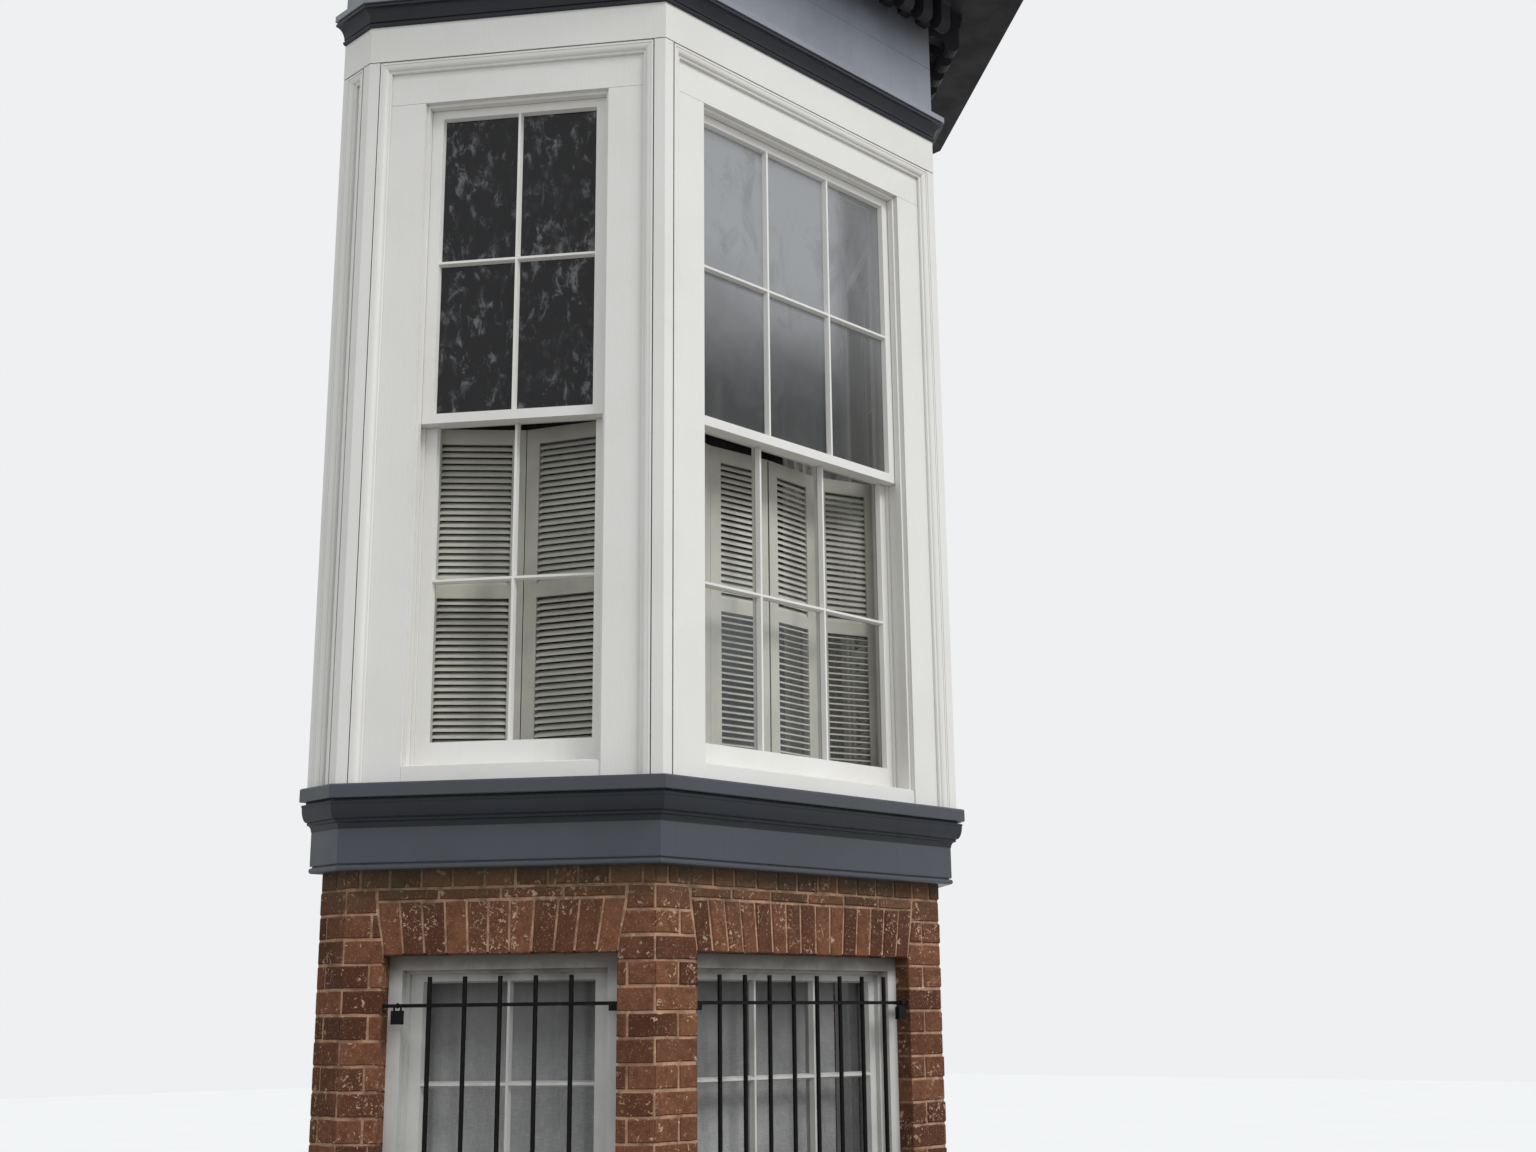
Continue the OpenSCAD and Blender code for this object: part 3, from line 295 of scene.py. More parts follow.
def main_glass():
    """Old glass with painted reflections: in the upper sashes a pale painted reflection in front and a dark one
    with grey marks at the sides, clear in front of the shutters.
    """
    s = Shader("window_glass")
    waves = s.noise(3.1, 3, 0.5, s.stretch(1, 1, 0.6))
    across = s.axis("X")
    front = s.span(s.math("ABSOLUTE", across), FRONT_GLASS + 0.005, FRONT_GLASS - 0.005)
    upper = s.span(s.axis("Z"), MEETING_Z - 0.001, MEETING_Z + 0.001)

    # Painted reflection at the sides: near black with grey marks
    blots = s.span(s.noise(4.5, 6, 0.66), 0.44, 0.57)
    reflection_marks = s.span(s.noise(24, 8, 0.72, s.stretch(1, 1, 0.55), 0.5), 0.50, 0.66)
    reflection_marks = s.times(reflection_marks, s.plus(s.times(blots, 0.8), 0.2))
    side_reflection = s.mix(reflection_marks, (0.010, 0.010, 0.011), (0.150, 0.154, 0.160))

    # Painted reflection in front, pale towards the top with grey streaks
    height = s.plus(s.axis("Z"), s.times(s.noise(1.6, 4), 0.5))
    fade = s.span(height, SLAB_TOP + 1.72, SLAB_TOP + 2.40)
    front_reflection = s.mix(fade, (0.055, 0.057, 0.057), (0.400, 0.410, 0.425))
    streaks = s.span(s.noise(7, 8, 0.7, s.stretch(1, 1, 0.5), 0.6), 0.46, 0.66)
    front_reflection = s.mix(s.times(streaks, 0.30), front_reflection, (0.13, 0.135, 0.14))

    # A pale painted reflection on the lower left of the front, elsewhere a thin dark tint
    left_low = s.times(s.span(across, 0.40, -0.05), s.span(s.axis("Z"), SLAB_TOP + 0.95, SLAB_TOP + 0.65))
    left_low = s.times(front, left_low)
    right = s.times(front, s.span(across, 0.10, 0.35))
    lower_tint_and_reflection = s.mix(left_low, (0.024, 0.024, 0.024), (0.300, 0.310, 0.310))
    colour = s.mix(upper, lower_tint_and_reflection, s.mix(front, side_reflection, front_reflection))

    # The upper panes hide the room under their painted reflection, less so before the drape, and the lower ones
    # carry a thin tint with a little painted reflection
    before_drape = s.times(front, s.times(s.span(across, 0.20, 0.34), 0.56))
    veil = s.minus(s.minus(0.94, s.times(front, 0.12)), before_drape)
    thin = s.span(s.noise(2.6, 5, 0.6), 0.40, 0.75, 0.08, 0.18)
    thin = s.plus(s.plus(thin, s.times(left_low, 0.04)), s.times(right, 0.10))
    s.put(s.bsdf.inputs["Alpha"], s.plus(s.times(upper, veil), s.times(s.minus(1.0, upper), thin)))
    return s.finish(colour, 0.05, s.bump(waves, 0.010), Specular_IOR_Level=0.3)


def basement_glass():
    """Dusty glass, clear enough for the curtains to show."""
    s = Shader("basement_glass")
    dust_and_shade = s.span(s.noise(3.4, 6, 0.62), 0.40, 0.70)
    colour = s.mix(dust_and_shade, (0.014, 0.015, 0.015), (0.048, 0.050, 0.050))
    s.put(s.bsdf.inputs["Alpha"], s.span(s.noise(2.2, 4), 0.35, 0.7, 0.14, 0.28))
    return s.finish(colour, 0.06, s.bump(s.noise(3.1, 3), 0.010), Specular_IOR_Level=0.25)


def iron_stuff():
    """Black paint on iron, with a little rust."""
    s = Shader("black_iron")
    colour = s.mix(s.span(s.noise(60, 5), 0.5, 0.75), (0.004, 0.004, 0.004), (0.014, 0.010, 0.008))
    normal = s.bump(s.noise(300, 4), 0.0006, s.bump(s.noise(45, 3), 0.001))
    rough = s.span(s.noise(30, 3), 0.3, 0.7, 0.42, 0.64)
    return s.finish(colour, rough, normal, Specular_IOR_Level=0.1)


def cloth_stuff(name, light, shade, top_shade=None):
    """Woven cloth; its last argument (z0, z1, colour) greys it towards the top, a painted shade."""
    s = Shader(name)
    weave = 900
    warp = s.noise(1, 1, 0.5, s.stretch(weave, weave, 30))
    weft = s.noise(1, 1, 0.5, s.stretch(40, 40, weave))
    threads = s.plus(warp, weft)
    colour = s.mix(s.span(threads, 0.8, 1.2), shade, light)
    colour = s.mix(s.times(s.span(s.noise(3, 4), 0.45, 0.75), 0.35), colour, shade)
    # Painted shade towards the top
    if top_shade:
        colour = s.mix(s.span(s.axis("Z"), top_shade[0], top_shade[1]), colour, top_shade[2])
    return s.finish(colour, 0.9, s.bump(threads, 0.0004), Sheen_Weight=0.25)


def floor_boards():
    """Worn boards that run from front to back, each its own tone, with dark seams."""
    s = Shader("floor_boards")
    board_w = 0.11
    row = s.math("DIVIDE", s.axis("X"), board_w)
    board = s.math("FLOOR", row)
    edge = s.math("ABSOLUTE", s.minus(s.minus(row, board), 0.5))
    seam = s.span(edge, 0.475, 0.492)
    tint = s.add("ShaderNodeTexWhiteNoise", noise_dimensions="1D")
    s.put(tint.inputs["W"], board)
    grain = s.noise(6, 6, 0.6, s.stretch(22, 1.4, 22), 0.4)
    colour = s.mix(s.span(grain, 0.35, 0.68), (0.26, 0.135, 0.065), (0.12, 0.056, 0.026))
    colour = s.mix(s.times(tint.outputs["Value"], 0.4), colour, (0.17, 0.088, 0.045))
    colour = s.mix(s.times(seam, 0.85), colour, (0.02, 0.012, 0.008))
    height = s.minus(s.times(grain, 0.12), seam)
    return s.finish(colour, 0.42, s.bump(height, 0.0016))


def rough_stuff(name, light, dark, scale, relief=0.002):
    """Plaster or concrete with clouds of the scale given."""
    s = Shader(name)
    colour = s.mix(s.span(s.noise(scale, 6, 0.6), 0.36, 0.68), light, dark)
    colour = s.mix(s.span(s.noise(scale * 14, 3), 0.62, 0.72), colour, tuple(0.6 * c for c in dark))
    normal = s.bump(s.noise(scale * 22, 4), relief, s.bump(s.noise(scale * 3, 4), relief * 1.5))
    return s.finish(colour, 0.9, normal)


def roof_stuff():
    """Painted sheet metal, slightly dented, with rust where the paint has gone."""
    s = Shader("roof_metal")
    colour = s.mix(s.span(s.noise(1.8, 6, 0.6), 0.38, 0.7), (0.125, 0.135, 0.15), (0.075, 0.08, 0.088))
    rust = s.times(s.span(s.noise(3.4, 6, 0.7), 0.58, 0.72), 0.6)
    colour = s.mix(rust, colour, (0.16, 0.075, 0.04))
    normal = s.bump(s.noise(140, 3), 0.0006, s.bump(s.noise(1.6, 2), 0.012))
    return s.finish(colour, s.span(s.noise(6, 4), 0.3, 0.7, 0.45, 0.68), normal, Metallic=0.25)


# White paint with painted shade in narrow gaps
WHITE = painted("white_paint", (0.80, 0.79, 0.755), (0.56, 0.53, 0.47), rough=0.36, dirt=0.16, streaks=0.25,
                crevice_shade=(0.5, 0.010))
GREY = painted("blue_grey_paint", (0.046, 0.054, 0.068), (0.031, 0.035, 0.041), rough=0.38, dirt=0.4)
# The frieze darkens towards the soffit with painted shade
FRIEZE = painted("frieze_paint", (0.262, 0.282, 0.328), (0.165, 0.171, 0.190), rough=0.45, dirt=0.4,
                 shade_above=(*FRIEZE_SHADE, (0.055, 0.056, 0.066)))
CORNICE = painted("cornice_paint", (0.018, 0.021, 0.029), (0.014, 0.015, 0.019), rough=0.40, dirt=0.4,
                  shine=0.3)
DARK = painted("dark_trim_paint", (0.017, 0.020, 0.026), (0.012, 0.013, 0.016), rough=0.38, dirt=0.4,
               shine=0.25)
EAVES = painted("eaves_paint", (0.024, 0.022, 0.025), (0.013, 0.012, 0.013), rough=0.60, dirt=0.4, shine=0.15)
# Shutter paint with painted shade in the louvres' gaps and on the faces that look up
SHUTTER = painted("shutter_paint", (0.78, 0.77, 0.67), (0.50, 0.48, 0.40), rough=0.5, dirt=0.4, streaks=0.5,
                  shine=0.3, crevice_shade=(0.9, 0.022), dust_and_shade=(0.15, 0.15, 0.13))
# The basement frames darken at their heads with painted shade under the arches
FRAME_PAINT = painted("basement_paint", (0.64, 0.635, 0.610), (0.33, 0.32, 0.29), rough=0.45, dirt=0.45,
                      streaks=0.8, shade_above=(ARCH_FOOT - 0.05, ARCH_FOOT + 0.07, (0.15, 0.135, 0.115)))
INSIDE = rough_stuff("plaster", (0.70, 0.68, 0.63), (0.52, 0.50, 0.45), 3.2, 0.0012)
BRICK = brick_stuff()
MORTAR = mortar_stuff()
IRON = iron_stuff()
BOARDS = floor_boards()
CONCRETE = rough_stuff("ground_slab", (0.30, 0.27, 0.23), (0.17, 0.15, 0.13), 4.5)
ROOF = roof_stuff()
GLASS = main_glass()
BASE_GLASS = basement_glass()
# The curtains carry painted shade towards their top, under the arches
CURTAIN = cloth_stuff("curtain_cloth", (0.86, 0.86, 0.85), (0.60, 0.60, 0.60),
                      top_shade=(ARCH_FOOT - 0.55, ARCH_FOOT - 0.05, (0.42, 0.42, 0.41)))
DRAPE = cloth_stuff("drape_cloth", (0.62, 0.60, 0.56), (0.32, 0.31, 0.285))

LOOKS = {
    "ground_floor": CONCRETE, "basement_frames": FRAME_PAINT, "basement_sashes": FRAME_PAINT,
    "basement_glass": BASE_GLASS, "window_guards": IRON, "padlocks": IRON,
    "belt_bead": GREY, "belt_fascia": GREY, "bed_mould": DARK, "belt_slab": GREY, "main_floor": BOARDS,
    "left_wall_post": INSIDE, "left_corner_post": INSIDE, "right_corner_post": INSIDE,
    "right_wall_post": INSIDE, "head_beams": INSIDE, "window_glass": GLASS,
    "left_shutters": SHUTTER, "front_shutters": SHUTTER, "right_shutters": SHUTTER,
    "cornice_mould": CORNICE, "grey_frieze": FRIEZE, "eave_brackets": EAVES, "soffit": EAVES,
    "eave_fascia": EAVES, "crown_mould": EAVES, "ceiling": INSIDE, "roof": ROOF,
}
for name, node in nodes.items():
    node.data.materials.clear()
    node.data.materials.append(LOOKS.get(name, WHITE))


def placed(name, data):
    """A new object in the scene."""
    item = bpy.data.objects.new(name, data)
    bpy.context.scene.collection.objects.link(item)
    return item


class Mesh:
    """Collects points and faces, then becomes one piece on the fixed body."""

    def __init__(self):
        self.points, self.faces, self.kinds, self.tones = [], [], [], []

    def add(self, points, faces, kind=0, tone=0.5):
        """kind is the number of the faces' material, and tone the shade of a brick from 0 to 1."""
        start = len(self.points)
        self.points += points
        self.faces += [[start + i for i in f] for f in faces]
        self.kinds += [kind] * len(faces)
        self.tones += [tone] * len(faces)

    def piece(self, name, materials, slot, smooth=False):
        mesh = bpy.data.meshes.new(name)
        mesh.from_pydata([tuple(p) for p in self.points], [], self.faces)
        for m in materials:
            mesh.materials.append(m)
        mesh.polygons.foreach_set("material_index", self.kinds)
        mesh.polygons.foreach_set("use_smooth", [smooth] * len(self.faces))
        tone = mesh.attributes.new("tone", "FLOAT", "FACE")
        tone.data.foreach_set("value", self.tones)
        mesh.update()
        piece = placed(name, mesh)
        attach(piece, "root")
        return piece


def prism(rings):
    """Faces between rings from the back one to the front one, with a cap at each end."""
    n = len(rings[0])
    faces = [list(range(n))[::-1], [n * (len(rings) - 1) + i for i in range(n)]]
    for r in range(len(rings) - 1):
        for i in range(n):
            j = (i + 1) % n
            faces.append([r * n + i, r * n + j, (r + 1) * n + j, (r + 1) * n + i])
    return [p for ring in rings for p in ring], faces


# A brick's worn edge, the recess of the mortar, and the depth and length of a brick
ARRIS = 0.0035
RAKE = 0.006
HEADER = 0.1
STRETCHER = 0.203
# Widths of bricks with their joint: headers in the band, bricks on end in an arch
HEADER_PITCH = 0.108
ARCH_PITCH = 0.075
# How far bricks stray: an edge from its line, a face into the wall, a brick up or down, an upright joint
WOBBLE = 0.0016
SET_BACK = 0.0028
DROP = 0.0012
WANDER = 0.004
# Share of a joint on each side of a brick in an arch
ARCH_JOINT = 0.42
# How far bricks and their mortar stay back from the plain end of a wall
BRICK_INSET = 0.002
CORE_INSET = 0.001
# A run longer than this is cut into even bricks, and a joint near a corner leaves no piece below the second
LONG_RUN = 0.4
SHORT_PIECE = 0.025
# Depths of the outer and the inner wythe, from the face that shows to the one in the wall
OUTER = (BRICK_OUT, BRICK_OUT - HEADER)
INNER = (BRICK_IN, BRICK_IN + HEADER)
# By face and side, 0 left and 1 right: the distance from a corner to the first upright joint of a course
# whose brick wraps round that corner
WRAP = {
    (0, 1): 0.112, (1, 0): 0.100, (1, 1): 0.095, (2, 0): 0.112,
    (2, 1): 0.112, (3, 0): 0.095, (3, 1): 0.100, (4, 0): 0.112,
}
corner_looks = {}
rng = random.Random(61)


def new_look():
    """A brick's tone, set-back and drop."""
    return rng.random(), rng.uniform(0, SET_BACK), rng.uniform(-DROP, DROP)


class Edge:
    """The end of a brick: plain at x, on a slope between two heights, or along the mitre of a corner."""

    def __init__(self, x=0.0, slope=None, mitre=None, gap=0.0):
        self.x, self.slope, self.mitre, self.gap = x, slope, mitre, gap
        self.plain = mitre is None or gap != 0

    def __call__(self, out, z):
        if self.mitre is not None:
            return self.mitre(out) + self.gap
        if self.slope is not None:
            low, high, x_low, x_high = self.slope
            t = min(1, max(0, (z - low) / (high - low)))
            return x_low + (x_high - x_low) * t + self.gap
        return self.x


def mitre_edge(face, side, gap=0.0):
    mitre = (mitre_left, mitre_right)[side]
    return Edge(mitre=lambda out: mitre(face, out), gap=gap)


def plain_edge(face, side, inset):
    return Edge(x=inset if side == 0 else LENGTHS[face] - inset)


def lay_brick(mesh, face, left, right, z0, z1, front, back, look=None):
    """One brick with worn edges. Left and right give x by depth and height."""
    tone, set_back, drop = look or new_look()
    sign = 1 if front > back else -1
    face_out = front - sign * set_back
    steps = 3 if right(front, z0) - left(front, z0) > 1.3 * HEADER else 2
    wobble = [rng.uniform(-WOBBLE, WOBBLE) for _ in range(2 * steps + 2)]
    rings = []
    for out, inset, corner_inset in ((face_out, ARRIS, ARRIS * 0.8), (face_out - sign * ARRIS, 0, 0),
                                     (back + sign * ARRIS, 0, 0), (back, ARRIS, 0)):
        ring = []
        for z, start in ((z0 + inset + drop, 0), (z1 - inset + drop, steps)):
            line = []
            for k in range(steps + 1):
                height = z + (wobble[start + k] if 0 < k < steps else 0)
                x0 = left(out, height) + (inset if left.plain else corner_inset)
                x1 = right(out, height) - (inset if right.plain else corner_inset)
                line.append(on_face(face, x0 + (x1 - x0) * k / steps, out, height))
            ring += line if start == 0 else line[::-1]
        rings.append(ring)
    if sign > 0:
        rings = rings[::-1]
    points, faces = prism(rings)
    mesh.add(points, faces, 0, tone)


def lay_wall(mesh, face, z_low, z_high, ends, front, back):
    """Courses of one wythe on one face. Each end is a corner, a plain end or the edge of an opening."""
    course = round(z_low / COURSE)
    thinnest = 0.012
    while course * COURSE < z_high - thinnest:
        z0 = course * COURSE + JOINT / 2
        z1 = min((course + 1) * COURSE - JOINT / 2, z_high)
        lay_course(mesh, face, z0, z1, ends, front, back, course)
        course += 1


def lay_course(mesh, face, z0, z1, ends, front, back, course):
    """Every other course wraps its bricks round the corners; the one between has joints there."""
    wraps = course % 2 == 0
    headers = z0 > PIER_TOP
    limits, looks, legs = [], [None, None], [0, 0]
    for side, end in enumerate(ends):
        if end == "corner":
            limits.append(mitre_edge(face, side, 0 if wraps else (0.5 - side) * JOINT))
            if wraps:
                key = (face + side, course, front)
                looks[side] = corner_looks.setdefault(key, new_look())
                legs[side] = WRAP[face, side] * (0.5 if headers else 1)
        elif end == "plain":
            limits.append(plain_edge(face, side, BRICK_INSET))
        else:
            limits.append(end)
    middle = (z0 + z1) / 2
    start, stop = limits[0](front, middle), limits[1](front, middle)
    legs = [leg if stop - start > leg + SHORT_PIECE else 0 for leg in legs]
    cuts = []
    if legs[0]:
        cuts.append(start + legs[0])
    if legs[1]:
        cuts.append(stop - legs[1])
    if stop - start > LONG_RUN or headers:
        low, high = start + legs[0], stop - legs[1]
        count = max(1, round((high - low) / (HEADER_PITCH if headers else STRETCHER + JOINT)))
        cuts = [low + (high - low) * k / count for k in range(count + 1)]
        cuts = cuts[0 if legs[0] else 1:len(cuts) if legs[1] else -1]
    edges = [limits[0]]
    for cut in cuts:
        cut += rng.uniform(-WANDER, WANDER)
        edges += [Edge(x=cut - JOINT / 2), Edge(x=cut + JOINT / 2)]
    edges.append(limits[1])
    for k in range(0, len(edges), 2):
        look = looks[0] if k == 0 and looks[0] else looks[1] if k == len(edges) - 2 else None
        lay_brick(mesh, face, edges[k], edges[k + 1], z0, z1, front, back, look)


def core(mesh, face, z0, z1, left, right):
    """The mortar between the wythes and in the joints of one face."""
    rings = []
    for out in (BRICK_IN + RAKE, BRICK_OUT - RAKE):
        rings.append([
            on_face(face, left(out, z0), out, z0), on_face(face, right(out, z0), out, z0),
            on_face(face, right(out, z1), out, z1), on_face(face, left(out, z1), out, z1),
        ])
    points, faces = prism(rings)
    mesh.add(points, faces, 1)


def full_face(mesh, face, z_low, z_high):
    """A face of wall without an opening, which ends at a corner or plainly at the open back."""
    ends, limits = ["corner", "corner"], [mitre_edge(face, 0), mitre_edge(face, 1)]
    for side in (0, 1):
        if (face, side) in ((0, 0), (4, 1)):
            ends[side], limits[side] = "plain", plain_edge(face, side, CORE_INSET)
    for front, back in (OUTER, INNER):
        lay_wall(mesh, face, z_low, z_high, ends, front, back)
    core(mesh, face, z_low, z_high, *limits)


def brick_piece(name, mesh, node):
    piece = mesh.piece(name, [BRICK, MORTAR], "brick")
    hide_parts(node)


def build_ring(name, node, z_low, z_high):
    """Courses right round the bay."""
    mesh = Mesh()
    for face in range(5):
        full_face(mesh, face, z_low, z_high)
    brick_piece(name, mesh, node)


def opening_edge(face, side, joint=JOINT):
    """The edge of a pier beside a window, with the splay of the arch above."""
    if side == 1:
        foot, crown = PIERS[face], PIERS[face] - ARCH_SKEW - joint
    else:
        foot = LENGTHS[face] - PIERS[face]
        crown = foot + ARCH_SKEW + joint
    return Edge(slope=(ARCH_FOOT, ARCH_TOP, foot, crown))


def pier_leg(mesh, face, side):
    """The part of a pier on one face: side 0 starts at the face's left corner, side 1 ends at its right."""
    if face in (0, 4):
        full_face(mesh, face, BASE_TOP, PIER_TOP)
        return
    if side == 0:
        ends = ("corner", opening_edge(face, 1))
        raked, splayed = Edge(x=PIERS[face] - RAKE), opening_edge(face, 1, 0)
    else:
        ends = (opening_edge(face, 0), "corner")
        raked, splayed = Edge(x=LENGTHS[face] - PIERS[face] + RAKE), opening_edge(face, 0, 0)
    for front, back in (OUTER, INNER):
        lay_wall(mesh, face, BASE_TOP, PIER_TOP, ends, front, back)
    for z0, z1, edge in (
        (BASE_TOP, ARCH_FOOT, raked), (ARCH_FOOT, ARCH_TOP, splayed), (ARCH_TOP, PIER_TOP, splayed),
    ):
        if side == 0:
            core(mesh, face, z0, z1, mitre_edge(face, 0), edge)
        else:
            core(mesh, face, z0, z1, edge, mitre_edge(face, 1))


def build_piers():
    """Each pier folds round a corner, so it has a leg on the face before it and one on the face after it."""
    names = ("left_wall_pier", "left_corner_pier", "right_corner_pier", "right_wall_pier")
    for corner, node in enumerate(names, 1):
        mesh = Mesh()
        pier_leg(mesh, corner - 1, 1)
        pier_leg(mesh, corner, 0)
        brick_piece(node + "_bricks", mesh, node)


def build_arches():
    """Splayed bricks on end, none quite upright, under a course of split bricks."""
    mesh = Mesh()
    for face in (1, 2, 3):
        build_arch(mesh, face)
    brick_piece("flat_arch_bricks", mesh, "flat_arches")


def build_arch(mesh, face):
    """One arch with the split bricks over it and their mortar."""
    width = LENGTHS[face] - 2 * PIERS[face]
    full = width + 2 * ARCH_SKEW
    middle = LENGTHS[face] / 2
    count = 2 * round((width / ARCH_PITCH - 1) / 2) + 1
    shift = [0] + [rng.uniform(-WANDER, WANDER) for _ in range(count - 1)] + [0]
    lean = [0] + [rng.uniform(-WANDER, WANDER) for _ in range(count - 1)] + [0]

    def joint_line(k, gap):
        foot = middle - width / 2 + width * k / count + shift[k] + gap
        crown = middle - width / 2 - ARCH_SKEW + full * k / count + shift[k] + lean[k] + gap
        return Edge(slope=(ARCH_FOOT, ARCH_TOP, foot, crown))

    for k in range(count):
        for front, back in (OUTER, INNER):
            left, right = joint_line(k, JOINT * ARCH_JOINT), joint_line(k + 1, -JOINT * ARCH_JOINT)
            lay_brick(mesh, face, left, right, ARCH_FOOT, ARCH_TOP - JOINT / 2, front, back)
    splits = round(full / (STRETCHER + JOINT))
    for k in range(splits):
        left = Edge(x=middle - full / 2 + full * k / splits + JOINT / 2)
        right = Edge(x=middle - full / 2 + full * (k + 1) / splits - JOINT / 2)
        for front, back in (OUTER, INNER):
            lay_brick(mesh, face, left, right, ARCH_TOP + JOINT / 2, PIER_TOP - JOINT / 2, front, back)
    core(mesh, face, ARCH_FOOT + RAKE, ARCH_TOP, joint_line(0, 0), joint_line(count, 0))
    core(mesh, face, ARCH_TOP, PIER_TOP, Edge(x=middle - full / 2), Edge(x=middle + full / 2))


# The basement frames' set-back and depth, the curtain blocks' depth, the clearance behind the frames, how far
# the curtains stay inside the opening, and the thickness of the cloth
FRAME_BACK = 0.07
FRAME_D = 0.154
CURTAIN_T = 0.024
SEAT_GAP = 0.0003
CURTAIN_INSET = 0.022
CLOTH_T = 0.0015


def pleated(name, face, x0, x1, out, z0, z1, folds, depth, seed, material, node):
    """A gathered sheet whose folds open towards the hem. Its flat size is its developed width and height."""
    draw = random.Random(seed)
    wide, tall = 150, 34
    phases = [draw.uniform(-0.5, 0.5) for _ in range(folds + 2)]
    points = []
    for j in range(tall + 1):
        v = j / tall
        for i in range(wide + 1):
            u = i / wide
            pull = 0.35 + 0.65 * (1 - v) ** 0.6
            t = u * folds
            k = int(t)
            phase = phases[k] * (1 - (t - k)) + phases[k + 1] * (t - k)
            wave = math.sin(2 * math.pi * (t + 0.35 * phase * (1 - v)))
            second = 0.25 * math.sin(4 * math.pi * t + 3 * phases[k] + 2 * v)
            shift = 0.35 * noise.noise(Vector((u * 7, v * 2.5, seed)))
            depth_here = depth * pull * max(-1, min(1, 0.75 * (wave + second) + shift))
            along = x0 + (x1 - x0) * u + 0.006 * math.cos(2 * math.pi * t) * pull
            points.append(on_face(face, along, out + depth_here, z0 + (z1 - z0) * v))
    faces = [
        [j * (wide + 1) + i, j * (wide + 1) + i + 1, (j + 1) * (wide + 1) + i + 1, (j + 1) * (wide + 1) + i]
        for j in range(tall) for i in range(wide)
    ]
    mesh = Mesh()
    mesh.add(points, faces)
    piece = mesh.piece(name, [material], "cloth", smooth=True)
    solid = piece.modifiers.new("thickness", "SOLIDIFY")
    solid.thickness = CLOTH_T
    solid.offset = 0
    if node:
        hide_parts(node)


def build_curtains():
    """Curtains behind the basement windows. Start and stop are shares of the opening's width.

    One node holds the plain blocks of all the windows, so only the first curtain hides it.
    """
    out = BRICK_OUT - FRAME_BACK - FRAME_D - CURTAIN_T / 2 - SEAT_GAP
    low, high = BASE_TOP + CURTAIN_INSET, ARCH_FOOT - CURTAIN_INSET
    plans = (
        ("left_window_curtain", 1, 0.0, 1.0, 9, 3), ("front_window_curtain", 2, 0.0, 0.852, 12, 4),
        ("front_window_side_curtain", 2, 0.930, 1.0, 2, 5), ("right_window_curtain", 3, 0.0, 1.0, 9, 6),
    )
    node = "basement_curtains"
    for name, face, start, stop, folds, seed in plans:
        edge = PIERS[face] + CURTAIN_INSET + 0.002
        width = LENGTHS[face] - 2 * edge
        pleated(name, face, edge + width * start, edge + width * stop, out, low, high, folds=folds,
                depth=0.0105, seed=seed, material=CURTAIN, node=node)
        node = None


def build_drape():
    """The drape behind the front window, as wide as its plain block less a little at each side."""
    low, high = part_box("drape")
    x0, x1 = low.x + FRONT_W / 2 + 0.006, high.x + FRONT_W / 2 - 0.006
    out = FRONT_Y - (low.y + high.y) / 2
    pleated("side_drape", 2, x0, x1, out, low.z, high.z, folds=6, depth=0.024, seed=9, material=DRAPE,
            node="drape")


def inward(face, point):
    """How far a plan point lies behind the roof's edge along one face."""
    nx, ny = heading(HEADINGS[face] - 90)
    cx, cy = CORNERS[face]
    return CROWN_REACH - ((point.x - cx) * nx + (point.y - cy) * ny)


def on_own_slope(face, x, out):
    """Whether a plan point belongs to the slope of its face, and not to one beyond a hip."""
    point = on_face(face, x, out, 0)
    nearest = min(inward(f, point) for f in range(5))
    return inward(face, point) <= nearest + 1e-6 and point.y < WALL_Y


def build_roof_seams():
    """Standing seams that run up the slopes from the eaves to a hip or the ridge."""
    mesh = Mesh()
    slope = math.tan(math.radians(ROOF_SLOPE))
    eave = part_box("crown_mould")[1].z + ROOF_T
    pitch, half, tall, sunk = 0.42, 0.006, 0.022, 0.004
    step, longest, shortest = 0.01, 260, 12
    for face in range(1, 4):
        count = round((LENGTHS[face] + CROWN_REACH) / pitch)
        for k in range(-1, count + 2):
            x = LENGTHS[face] * (k + 0.5) / count
            outs = [CROWN_REACH - 0.004 - i * step for i in range(longest)]
            run = [out for out in outs if on_own_slope(face, x, out)]
            if len(run) < shortest:
                continue
            rings = []
            for out in (run[-1], run[0]):
                z = eave + (CROWN_REACH - out) * slope
                corners = ((-half, -sunk), (half, -sunk), (half, tall), (-half, tall))
                rings.append([on_face(face, x + dx, out, z + dz) for dx, dz in corners])
            mesh.add(*prism(rings))
    mesh.piece("roof_seams", [ROOF], "roof_metal")


def build_camera():
    """The photograph's viewpoint: solved from the corner lines of the bay."""
    camera = bpy.data.cameras.new("camera")
    camera.sensor_width = 36
    camera.lens = 41.78
    camera.clip_start, camera.clip_end = 0.05, 200
    item = placed("camera", camera)
    yaw, pitch, roll = (math.radians(v) for v in (45.771, 14.092, -0.647))
    forward = Vector((math.sin(yaw) * math.cos(pitch), math.cos(yaw) * math.cos(pitch), math.sin(pitch)))
    level = Vector((math.cos(yaw), -math.sin(yaw), 0))
    above = level.cross(forward)
    right = level * math.cos(roll) + above * math.sin(roll)
    up = above * math.cos(roll) - level * math.sin(roll)
    place = Vector((-FRONT_W / 2 - 4.0895, FRONT_Y - 4.4921, SLAB_TOP - 0.8295))
    turn = Matrix((right, up, -forward)).transposed()
    item.matrix_world = Matrix.Translation(place) @ turn.to_4x4()
    bpy.context.scene.camera = item


def staged(name, points, material):
    """A flat piece of the studio, which isn't part of the object."""
    mesh = bpy.data.meshes.new(name)
    mesh.from_pydata(points, [], [(0, 1, 2, 3)])
    mesh.materials.append(material)
    placed(name, mesh)


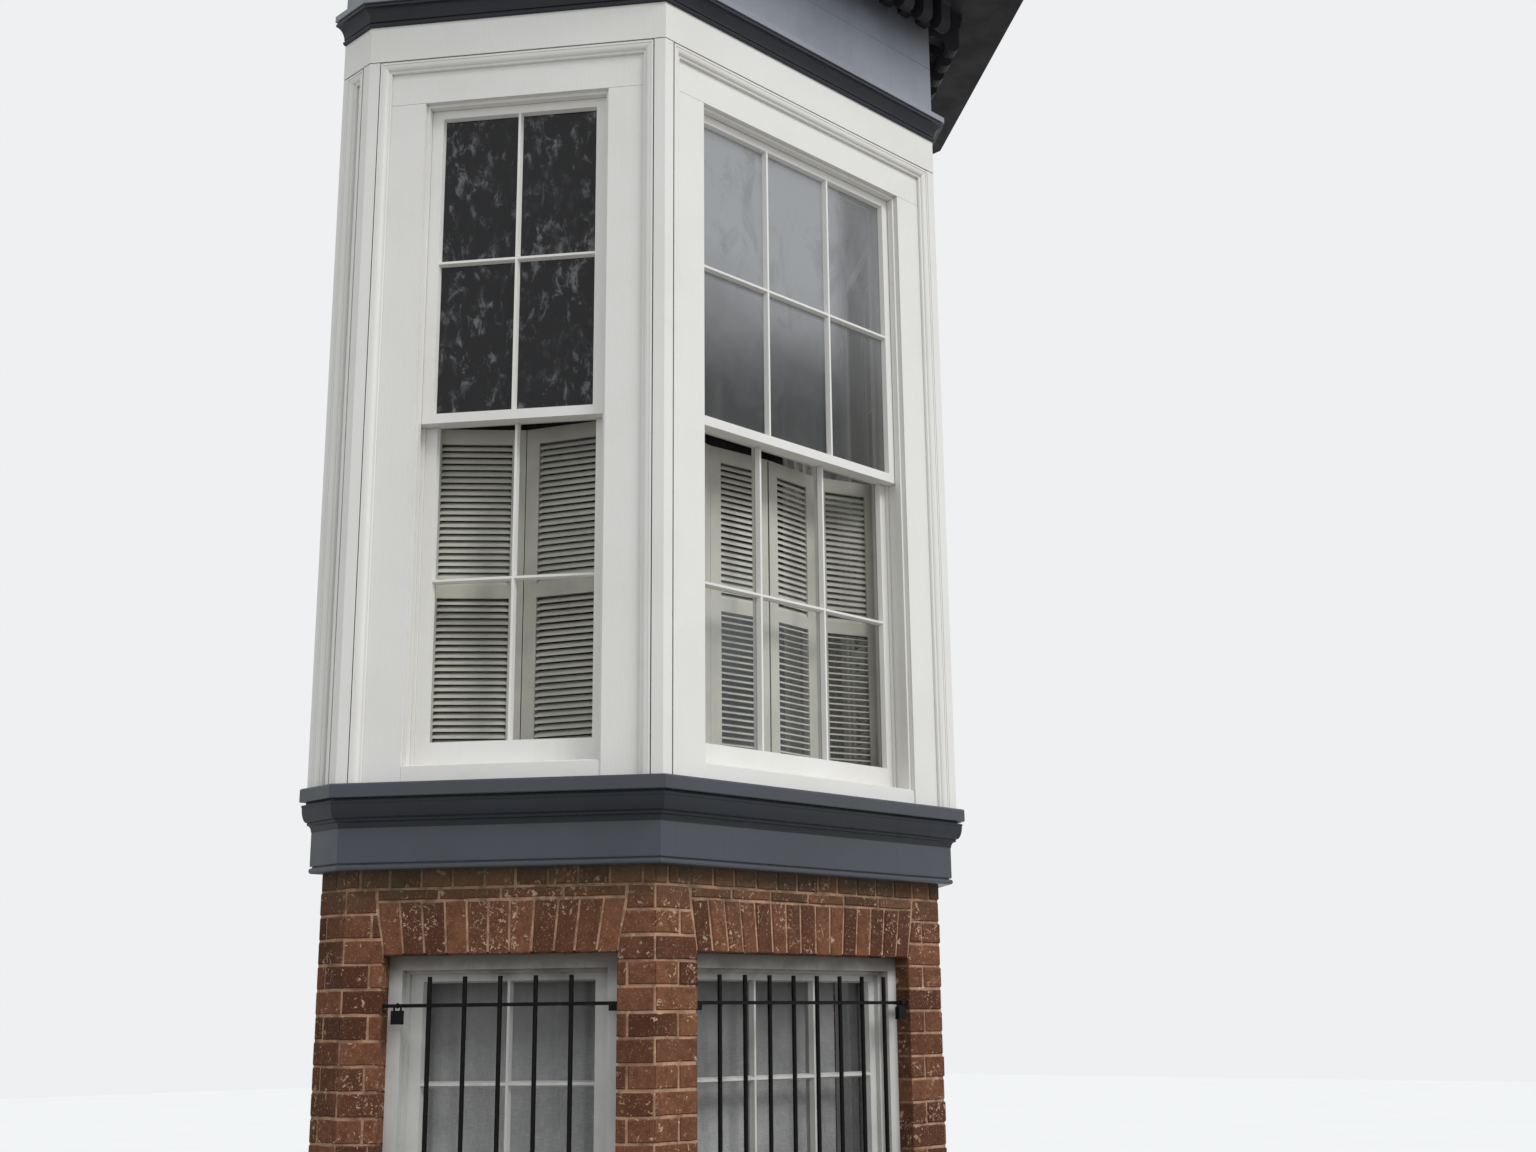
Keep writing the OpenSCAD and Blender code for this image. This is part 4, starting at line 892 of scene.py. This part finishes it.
def build_floor():
    """A pale floor, which sends less light up to the object than it shows."""
    s = Shader("studio_floor")
    ray = s.add("ShaderNodeLightPath").outputs
    seen = s.math("MAXIMUM", ray["Is Glossy Ray"], ray["Is Transmission Ray"])
    seen = s.math("MAXIMUM", ray["Is Camera Ray"], seen)
    pale = s.mix(s.noise(0.7, 3), (0.78, 0.78, 0.77), (0.82, 0.82, 0.81))
    reach = 40
    corners = [(-reach, -reach, 0), (reach, -reach, 0), (reach, reach, 0), (-reach, reach, 0)]
    staged("floor", corners, s.finish(s.mix(seen, (0.30, 0.29, 0.27), pale), 0.9))


def build_room_dark():
    """A backdrop behind the open back, for the dim room, which shows only through window glass.

    A camera ray that has come through a pane sees it, and other camera rays pass. It dims the light that
    comes into the rooms from behind.
    """
    s = Shader("room_dark")
    ray = s.add("ShaderNodeLightPath").outputs
    behind = s.math("GREATER_THAN", ray["Transparent Depth"], 0.5)
    seen = s.times(behind, ray["Is Camera Ray"])
    dim = s.times(s.minus(1.0, ray["Is Camera Ray"]), 0.6)
    s.put(s.bsdf.inputs["Alpha"], s.plus(seen, dim))
    colour = s.mix(s.noise(1.5, 3), (0.012, 0.012, 0.012), (0.030, 0.029, 0.027))
    half, foot, top, y = 1.45, 0.1, 6.2, WALL_Y + 0.03
    corners = [(-half, y, foot), (half, y, foot), (half, y, top), (-half, y, top)]
    staged("room_dark", corners, s.finish(colour, 0.9, Specular_IOR_Level=0))


def build_world():
    """Even light and a pale background, which is dark only where the view passes through two windows."""
    world = bpy.data.worlds.new("studio")
    bpy.context.scene.world = world
    world.use_nodes = True
    tree = world.node_tree
    tree.nodes.clear()

    def add(kind, *inputs, operation=None):
        node = tree.nodes.new(kind)
        if operation:
            node.operation = operation
        for socket, value in zip(node.inputs, inputs):
            if isinstance(value, bpy.types.NodeSocket):
                tree.links.new(value, socket)
            elif value is not None:
                socket.default_value = value
        return node.outputs[0]

    # Through two panes a ray crosses four faces
    two_panes = 3.5
    ray = tree.nodes.new("ShaderNodeLightPath").outputs
    seen = add("ShaderNodeMath", ray["Is Camera Ray"], ray["Is Glossy Ray"], operation="MAXIMUM")
    seen = add("ShaderNodeMath", seen, ray["Is Transmission Ray"], operation="MAXIMUM")
    beyond = add("ShaderNodeMath", ray["Transparent Depth"], two_panes, operation="GREATER_THAN")
    light = add("ShaderNodeBackground", (0.93, 0.96, 1.0, 1), 0.80)
    pale = add("ShaderNodeBackground", (0.86, 0.87, 0.88, 1), 1.0)
    shade = add("ShaderNodeBackground", (0.045, 0.046, 0.045, 1), 1.0)
    shown = add("ShaderNodeMixShader", beyond, pale, shade)
    out = tree.nodes.new("ShaderNodeOutputWorld")
    tree.links.new(add("ShaderNodeMixShader", seen, light, shown), out.inputs["Surface"])


def build_sun():
    """Soft light from the front and above."""
    lamp = bpy.data.lights.new("key", "SUN")
    lamp.energy = 1.6
    lamp.angle = math.radians(22)
    item = placed("key", lamp)
    item.rotation_mode = "QUATERNION"
    item.rotation_quaternion = Vector((-0.1, 1.0, -1.0)).to_track_quat("-Z", "Y")


build_ring("brick_base_bricks", "brick_base", 0, BASE_TOP)
build_piers()
build_arches()
build_ring("brick_band_bricks", "brick_band", PIER_TOP, BAND_TOP)
build_curtains()
build_drape()
build_roof_seams()
build_camera()
build_floor()
build_room_dark()
build_world()
build_sun()
bpy.context.scene.view_settings.view_transform = "Standard"
